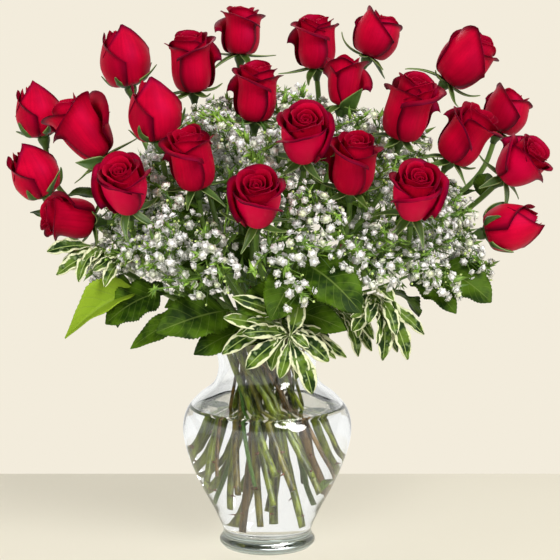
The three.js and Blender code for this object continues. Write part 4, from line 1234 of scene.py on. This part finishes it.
def leafySpray(kind, spray, slot, luck):
    # a stem, its leaves, and smaller leaves between them
    low = straightStretch(slot, sheaf["fillerRadius"], sheaf["leafEnd"])
    path = curveThrough([*low, *spray["stem"]], 60)
    radii = sheaf["fillerRadius"] * np.linspace(1.05, 0.62, len(path))
    stem = [tubes(path[None], radii[None], 10, luck.random())]
    rim = int(np.argmax(path[:, 2] > sheaf["leavesVaseAt"]))
    blades, made = [], []
    for share, tip, width, *light in spray["leaves"]:
        base, tip = path[int(round(rim + (len(path) - 1 - rim) * share))], np.array(tip)
        tone = light[0] if light else luck.uniform(0, 0.6)
        form = leafForms["folded" if light else kind]
        blades.append(leaf(base, tip, width, form, facingOf(base, tip), tone, luck))
        made.append((base, tip, width))
    extra = smallLeaves["between"][kind]
    for (base, tip, width), (nextBase, nextTip, _) in zip(made, made[1:] + made[:1]):
        for k in range(extra):
            share = (k + 1) / (extra + 1)
            start = base * (1 - share) + nextBase * share
            foot = path[int(np.argmin(np.linalg.norm(path - start, axis=1)))]
            reach = tip * (1 - share) + nextTip * share
            end = foot + (reach - foot) * luck.uniform(*smallLeaves["length"])
            end = end + jitter(luck, 1, 1)[0] * smallLeaves["astray"]
            facing = facingOf(foot, end) + jitter(luck, smallLeaves["turned"], 1)[0]
            narrow = width * luck.uniform(*smallLeaves["width"])
            blades.append(leaf(foot, end, narrow, leafForms[kind], facing, luck.random(), luck))
    return stem, blades


breath = {
    "sprays": 3,
    "crotchHeight": 0.266,    # where a spray's stem branches
    "heading": (0.060, 0.300),         # how far out and how high the sprays lead
    "domeCentre": (0.020, -0.004, 0.258),
    "domeRadii": (0.190, 0.142, 0.184),
    "domeFloor": 0.262,
    "domeDepth": 0.42,        # how far in from the dome's face its heads go, as a share of its radii
    "candidates": 9000,
    "clusters": 480,
    "spacing": 0.0155,
    "offBlooms": 0.005,
    "offLeaves": 0.027,
    "flowersBeyond": 0.73,    # heads flower only beyond this share of the dome's radii
    "greenShare": 0.15,       # how many of the heads have no flowers yet
    "clusterRadius": (0.011, 0.017),
    "floretsPerCluster": 9,
    "budsPerCluster": 3,
    "leavesPerCluster": 6,
    "floretSize": 0.0048,
    "floretKinds": 4,
    "budSize": 0.0034,
    "budWidth": 0.4,
    "sizeSpread": (0.72, 1.2),
    "leafSize": (0.010, 0.020),
    "twigLeaf": (0.13, 0.25),          # how wide for its length, and how flat
    "tuftLeaf": (0.12, 0.25),
    "twigRadius": 0.0010,
    "twigTaper": 0.55,
    "stalkRadii": (0.0005, 0.00035, 0.00035),
    "seed": 7,
}


def headingOf(spray):
    middle = (spray + 0.5) * 2 * math.pi / breath["sprays"] - math.pi
    out, up = breath["heading"]
    return np.array([out * math.cos(middle), out * math.sin(middle), up])


def spindle(wide, flat, sides=5):
    # a closed spindle along +z, for buds and for the narrow leaves of the twigs
    turn = 2 * np.pi * np.arange(sides) / sides
    ring = np.column_stack([wide * np.cos(turn), wide * flat * np.sin(turn), np.full(sides, 0.45)])
    points = np.vstack([[[0, 0, 0]], ring, [[0, 0, 1]]])
    step = np.arange(sides)
    ahead = (step + 1) % sides
    low = np.column_stack([np.zeros(sides, int), ahead + 1, step + 1])
    high = np.column_stack([np.full(sides, sides + 1), step + 1, ahead + 1])
    return points, np.vstack([low, high])


floretShape = {
    "middle": (0.62, 0.78, 0.06),      # its width and height, and how uneven it is
    "rings": ((6, 6, 1.0), (5, 36, 0.90)),    # petals, their tilt in degrees and their size
    "shoulder": (0.62, 0.42),          # where a petal is widest, and half that width
    "keel": 0.14,
}


def floret(luck):
    # a small full flower: rings of kite-shaped petals, each closed by a keel beneath, round a rounded middle
    wide, tall, uneven = floretShape["middle"]
    middle, closed = spindle(wide, 1, 6)
    middle = middle * (1, 1, tall) + jitter(luck, uneven, len(middle))
    points, faces = list(middle), list(map(tuple, closed))
    along, across = floretShape["shoulder"]
    for ring, (count, tilt, size) in enumerate(floretShape["rings"]):
        for k in range(count):
            angle = 2 * math.pi * (k + 0.5 * ring) / count + luck.uniform(-0.15, 0.15)
            lift = math.radians(tilt + luck.uniform(-12, 12))
            out = np.array([math.cos(angle), math.sin(angle), 0])
            side = np.array([-out[1], out[0], 0])
            way = out * math.cos(lift) + np.array([0, 0, math.sin(lift)])
            face = np.cross(way, side)
            foot = len(points)
            points += [
                way * 0.05,
                way * along * size + side * across * size,
                way * size - face * luck.uniform(-0.1, 0.1),
                way * along * size - side * across * size,
                way * 0.55 * size - face * floretShape["keel"],
            ]
            faces += [(foot, foot + 1, foot + 2), (foot, foot + 2, foot + 3)]
            faces += [(foot + b, foot + a, foot + 4) for a, b in ((0, 1), (1, 2), (2, 3), (3, 0))]
    return np.array(points), np.array(faces)


def scatter(template, places, aims, sizes, chances, luck):
    # copies a small template to many places, each turned so that its own +z points along its aim
    points, faces = template
    spins = draws(luck, len(places), 0, 2 * math.pi)[:, None]
    aims = unit(aims)
    helper = np.where(np.abs(aims[:, 2:3]) < 0.9, [[0, 0, 1.0]], [[1.0, 0, 0]])
    right = unit(np.cross(helper, aims))
    ahead = np.cross(aims, right)
    first = right * np.cos(spins) + ahead * np.sin(spins)
    second = np.cross(aims, first)
    x, y, z = (points[None, :, k:k + 1] for k in range(3))
    turned = x * first[:, None] + y * second[:, None] + z * aims[:, None]
    moved = turned * sizes[:, None, None] + places[:, None]
    offsets = (np.arange(len(places)) * len(points))[:, None, None]
    away = np.linalg.norm(points, axis=1)
    grain = np.stack(np.broadcast_arrays(points[:, 0], away, chances[:, None]), -1)
    return {
        "points": moved.reshape(-1, 3),
        "faces": [(faces[None] + offsets).reshape(-1, faces.shape[1])],
        "grain": grain.reshape(-1, 3),
    }


def clearOfBlooms(places, room):
    # which of the places keep this room to every bloom
    clear = np.ones(len(places), bool)
    for rose in roses:
        line = neckOf(rose) + axisOf(rose) * rose["height"] * np.linspace(0.15, 0.95, 5)[:, None]
        gap = np.linalg.norm(line[:, None] - places[None], axis=2).min(0)
        clear &= gap > rose["radius"] * 0.98 + room
    return clear


def hidesBloom(places):
    # which of the places stand between a bloom and the bouquet's front
    hides = np.zeros(len(places), bool)
    for rose in roses:
        for share in (0.22, 0.5, 0.8):
            centre = neckOf(rose) + axisOf(rose) * rose["height"] * share
            way = unit(np.array(cameraSetup["place"]) - centre)
            apart = places - centre
            ahead = apart @ way
            aside = np.linalg.norm(apart - ahead[:, None] * way, axis=1)
            hides |= (ahead > -rose["radius"]) & (aside < rose["radius"])
    return hides


def clearOfLeaves(places, room):
    # which of the places keep this room to the big leaves that hang over the vase's rim
    clear = np.ones(len(places), bool)
    for spray in lemonLeaves.values():
        stem = curveThrough(spray["stem"], 20)
        for share, tip, *_ in spray["leaves"]:
            base = stem[int(20 * share)]
            line = base + (np.array(tip) - base) * np.linspace(0.35, 1, 4)[:, None]
            gap = np.linalg.norm(line[:, None] - places[None], axis=2).min(0)
            clear &= gap > room
    return clear


def breathPlaces(luck):
    # evenly scattered places in the dome, clear of the blooms and of each other
    count = breath["candidates"]
    angle = draws(luck, count, -math.pi, math.pi)
    rise = np.arcsin(draws(luck, count, -0.02, 0.99))
    depth = 1 - breath["domeDepth"] * draws(luck, count) ** 2
    way = np.column_stack([np.cos(rise) * np.cos(angle), np.cos(rise) * np.sin(angle), np.sin(rise)])
    tried = np.array(breath["domeCentre"]) + np.array(breath["domeRadii"]) * way * depth[:, None]
    clear = clearOfBlooms(tried, breath["offBlooms"]) & clearOfLeaves(tried, breath["offLeaves"])
    tried = tried[clear & ~hidesBloom(tried)]
    tried = tried[tried[:, 2] > breath["domeFloor"]]
    found = tried[:1]
    for place in tried[1:]:
        if len(found) == breath["clusters"]:
            break
        if np.linalg.norm(found - place, axis=1).min() > breath["spacing"]:
            found = np.vstack([found, place])
    return found


twigGrowth = {
    "stemEnd": 0.045,         # the length of stem below the crotch from which twigs may start
    "back": 0.5,              # how far before the point nearest to its tip a twig forks, for their gap
    "forks": (0.12, 0.9),     # the lowest fork on a twig and the highest, as shares of its length
    "stemFork": 0.75,         # the lowest on the stem
    "bend": 0.004,
    "leafShares": (0.25, 0.5, 0.75),
    "leafSpread": 1.3,
    "tuftSpread": 1.1,
    "tuftTones": (0.3, 1),
    "tuftSunk": 0.4,          # the share of a tuft's leaf that lies before the twig's end
}


def growTwigs(crotch, tips):
    # joins the cluster places to the stem, each from the nearest twig that is already there
    lowest, highest = twigGrowth["forks"]
    starts, ends = [crotch - np.array([0, 0, twigGrowth["stemEnd"]])], [crotch]
    for place in tips:
        near, far = np.array(starts), np.array(ends)
        way = far - near
        share = np.clip(((place - near) * way).sum(1) / np.maximum((way**2).sum(1), 1e-12), 0, 1)
        gap = np.linalg.norm(near + way * share[:, None] - place, axis=1)
        pick = int(np.argmin(gap))
        whole = np.linalg.norm(way[pick])
        least = lowest if pick else twigGrowth["stemFork"]
        at = np.clip(share[pick] - twigGrowth["back"] * gap[pick] / whole, least, highest)
        starts.append(starts[pick] + way[pick] * at)
        ends.append(place)
    return np.array(starts[1:]), np.array(ends[1:])


def breathTwigs(crotch, low, starts, ends, luck):
    # the stem and its twigs, narrow leaves along the twigs, and tufts of leaves at their ends
    count = len(starts)
    way = unit(ends - starts)
    middle = (starts + ends) / 2 + jitter(luck, twigGrowth["bend"], count)
    paths = np.stack([starts, (starts + middle) / 2 + (0, 0, 0.001), middle, (middle + ends) / 2, ends], 1)
    radii = breath["twigRadius"] * np.linspace(1.0, breath["twigTaper"], 5)[None] * np.ones((count, 1))
    chances = draws(luck, count)
    stem = np.array([low[0], low[-1], crotch])
    parts = [
        tubes(stem[None], sheaf["fillerRadius"] * np.array([[1.0, 0.9, 0.55]]), 8, 0.0),
        tubes(paths, radii, 5, chances),
    ]
    for share in twigGrowth["leafShares"]:
        places = starts + (ends - starts) * share
        aims = unit(way + jitter(luck, twigGrowth["leafSpread"], count))
        sizes = draws(luck, count, *breath["leafSize"])
        parts.append(scatter(spindle(*breath["twigLeaf"]), places, aims, sizes, chances, luck))
    places = np.repeat(ends, breath["leavesPerCluster"], axis=0)
    spread = jitter(luck, twigGrowth["tuftSpread"], len(places))
    aims = unit(np.repeat(way, breath["leavesPerCluster"], axis=0) + spread)
    sizes = draws(luck, len(places), *breath["leafSize"])
    tones = draws(luck, len(places), *twigGrowth["tuftTones"])
    blades = aims * sizes[:, None]
    clear = clearOfBlooms(places + blades, 0.002) & ~hidesBloom(places + blades * 0.5)
    places = places - blades * twigGrowth["tuftSunk"]
    tuft = spindle(*breath["tuftLeaf"])
    parts.append(scatter(tuft, places[clear], aims[clear], sizes[clear], tones[clear], luck))
    return parts


headShape = {
    "heart": 0.06,            # the heads face away from a point this far below the dome's centre
    "alongTwig": 0.4,         # how much their aim follows the twig
    "hub": 0.75,              # where the stalks meet, in cluster radii below the twig's end
    "cap": 1.3,               # how much of a ball the florets cover: 1 is half of it
    "goldenAngle": 2.39996,
    "uneven": 0.3,
    "feet": (0, 0.35),        # where the stalks' feet are and how far their heads reach, in cluster radii
    "reach": (0.7, 1.35),
    "outward": 0.4,
    "offBlooms": 0.0035,
    "stalkBow": 0.06,
}


def breathHeads(starts, ends, luck):
    # where each flowering head's florets and buds are: the feet and heads of their stalks, and their aims
    kinds = {"floret": ([], [], []), "bud": ([], [], [])}
    shape = headShape
    centre = np.array(breath["domeCentre"]) - (0, 0, shape["heart"])
    total = breath["floretsPerCluster"] + breath["budsPerCluster"]
    for start, end in zip(starts, ends):
        outward = np.linalg.norm((end - breath["domeCentre"]) / breath["domeRadii"])
        if luck.random() < breath["greenShare"] or outward < breath["flowersBeyond"]:
            continue
        out = unit(shape["alongTwig"] * unit(end - start) + unit(end - centre))
        size = luck.uniform(*breath["clusterRadius"])
        hub = end - out * size * shape["hub"]
        helper = unit(np.cross(out, (0.2, 0.9, 0.35)))
        other = np.cross(out, helper)
        budAt = set(luck.sample(range(total), breath["budsPerCluster"]))
        for k in range(total):
            spread = math.acos(1 - shape["cap"] * (k + 0.5) / total)
            angle = k * shape["goldenAngle"] + luck.uniform(-shape["uneven"], shape["uneven"])
            aside = helper * math.cos(angle) + other * math.sin(angle)
            way = out * math.cos(spread) + aside * math.sin(spread)
            roots, heads, aims = kinds["bud" if k in budAt else "floret"]
            roots.append(hub - out * luck.uniform(*shape["feet"]) * size)
            heads.append(hub + way * size * luck.uniform(*shape["reach"]))
            aims.append(way + out * shape["outward"])
    return kinds


def breathSpray(crotch, low, places, templates, luck):
    starts, ends = growTwigs(crotch, places[np.argsort(np.linalg.norm(places - crotch, axis=1))])
    twigs, florets = breathTwigs(crotch, low, starts, ends, luck), []
    shapes = {"floret": templates, "bud": [spindle(breath["budWidth"], 1)]}
    for kind, (roots, heads, aims) in breathHeads(starts, ends, luck).items():
        roots, heads, aims = np.array(roots), np.array(heads), unit(np.array(aims))
        clear = clearOfBlooms(heads, headShape["offBlooms"]) & ~hidesBloom(heads)
        roots, heads, aims = roots[clear], heads[clear], aims[clear]
        bow = (roots + heads) / 2 + (heads - roots)[:, [1, 2, 0]] * headShape["stalkBow"]
        chances = draws(luck, len(heads))
        radii = np.array([breath["stalkRadii"]]) * np.ones((len(heads), 1))
        twigs.append(tubes(np.stack([roots, bow, heads], 1), radii, 3, chances))
        sizes = breath[f"{kind}Size"] * draws(luck, len(heads), *breath["sizeSpread"])
        for k, shape in enumerate(shapes[kind]):
            mine = slice(k, None, len(shapes[kind]))
            tint = chances[mine] * 0.5 + (0.5 if kind == "floret" else 0)
            florets.append(scatter(shape, heads[mine], aims[mine], sizes[mine], tint, luck))
    return twigs, florets


addCamera()
for name, setup in lights.items():
    addLight(name, **setup)
bpy.context.scene.view_settings.view_transform = "Standard"
addWorld()
addTable()
print("stage ready")

finishes = {
    "petal": petalFinish(),
    "stem": stemFinish(),
    "lemon": lemonLeafFinish(),
    "pittosporum": pittosporumFinish(),
    "sepal": sepalFinish(),
    "floret": floretFinish(),
    "twig": twigFinish(),
    "glass": clearFinish(**clearLooks["glass"]),
    "water": clearFinish(**clearLooks["water"]),
}
print("finishes mixed:", len(finishes))

# every stem's slot in the neck is found before any stem is made
targets = [bendOf(rose) for rose in roses]
targets += [np.array(spray["stem"][1]) for spray in (*lemonLeaves.values(), *pittosporum.values())]
targets += [headingOf(spray) for spray in range(breath["sprays"])]
slots = giveSlots(targets)

seeds = {"roses": 100, "foliage": 300}
greenery = []
for number, rose in enumerate(roses):
    luck = random.Random(seeds["roses"] + number)
    label = f"{number + 1:02d}"
    addPiece(f"roseBloom_{label}", bloom(rose, luck), finishes["petal"], [f"rose_bloom_{label}"])
    stem, path = roseStem(rose, slots[number], luck)
    addPiece(f"roseStem_{label}", stem, finishes["stem"], [f"rose_stem_{label}"])
    greenery += roseLeaves(path, luck)
    green = calyx(rose, luck)
    if label in bracts:
        green.append(bract(rose, bracts[label], luck))
    addPiece(f"roseSepals_{label}", green, finishes["sepal"])
addPiece("roseLeaves", greenery, finishes["lemon"])
print("roses made:", len(roses))

order = len(roses)
for kind, node, sprays in (("lemon", "lemon_leaf", lemonLeaves), ("pittosporum", "pittosporum", pittosporum)):
    for side, spray in sprays.items():
        luck = random.Random(seeds["foliage"] + order)
        stem, blades = leafySpray(kind, spray, slots[order], luck)
        addPiece(f"{kind}Stem_{side}", stem, finishes["stem"])
        addPiece(f"{kind}Leaves_{side}", blades, finishes[kind], [f"{node}_{side}"])
        order += 1
print("foliage made:", order - len(roses), "leafy stems")

# each spray of baby's breath takes the heads in its own sector of the dome
luck = random.Random(breath["seed"])
places = breathPlaces(luck)
templates = [floret(luck) for _ in range(breath["floretKinds"])]
sectors = (np.arctan2(places[:, 1], places[:, 0]) + math.pi) / (2 * math.pi) * breath["sprays"]
owner = np.minimum(sectors.astype(int), breath["sprays"] - 1)
for spray in range(breath["sprays"]):
    label, slot = spray + 1, slots[order + spray]
    crotch = inSheaf(slot, breath["crotchHeight"])
    low = straightStretch(slot, sheaf["fillerRadius"], sheaf["breathEnd"])
    twigs, florets = breathSpray(crotch, low, places[owner == spray], templates, luck)
    addPiece(f"breathTwigs_{label}", twigs, finishes["twig"])
    addPiece(f"breathFlorets_{label}", florets, finishes["floret"], [f"babys_breath_{label}"])
print("baby's breath made:", len(places), "clusters")

addPiece("glassVase", [lathe(glassProfile(), vaseShape["sides"])], finishes["glass"], ["vase"])
addPiece("waterInVase", [lathe(waterProfile(), vaseShape["sides"])], finishes["water"], ["water"])
print("vase and water made")
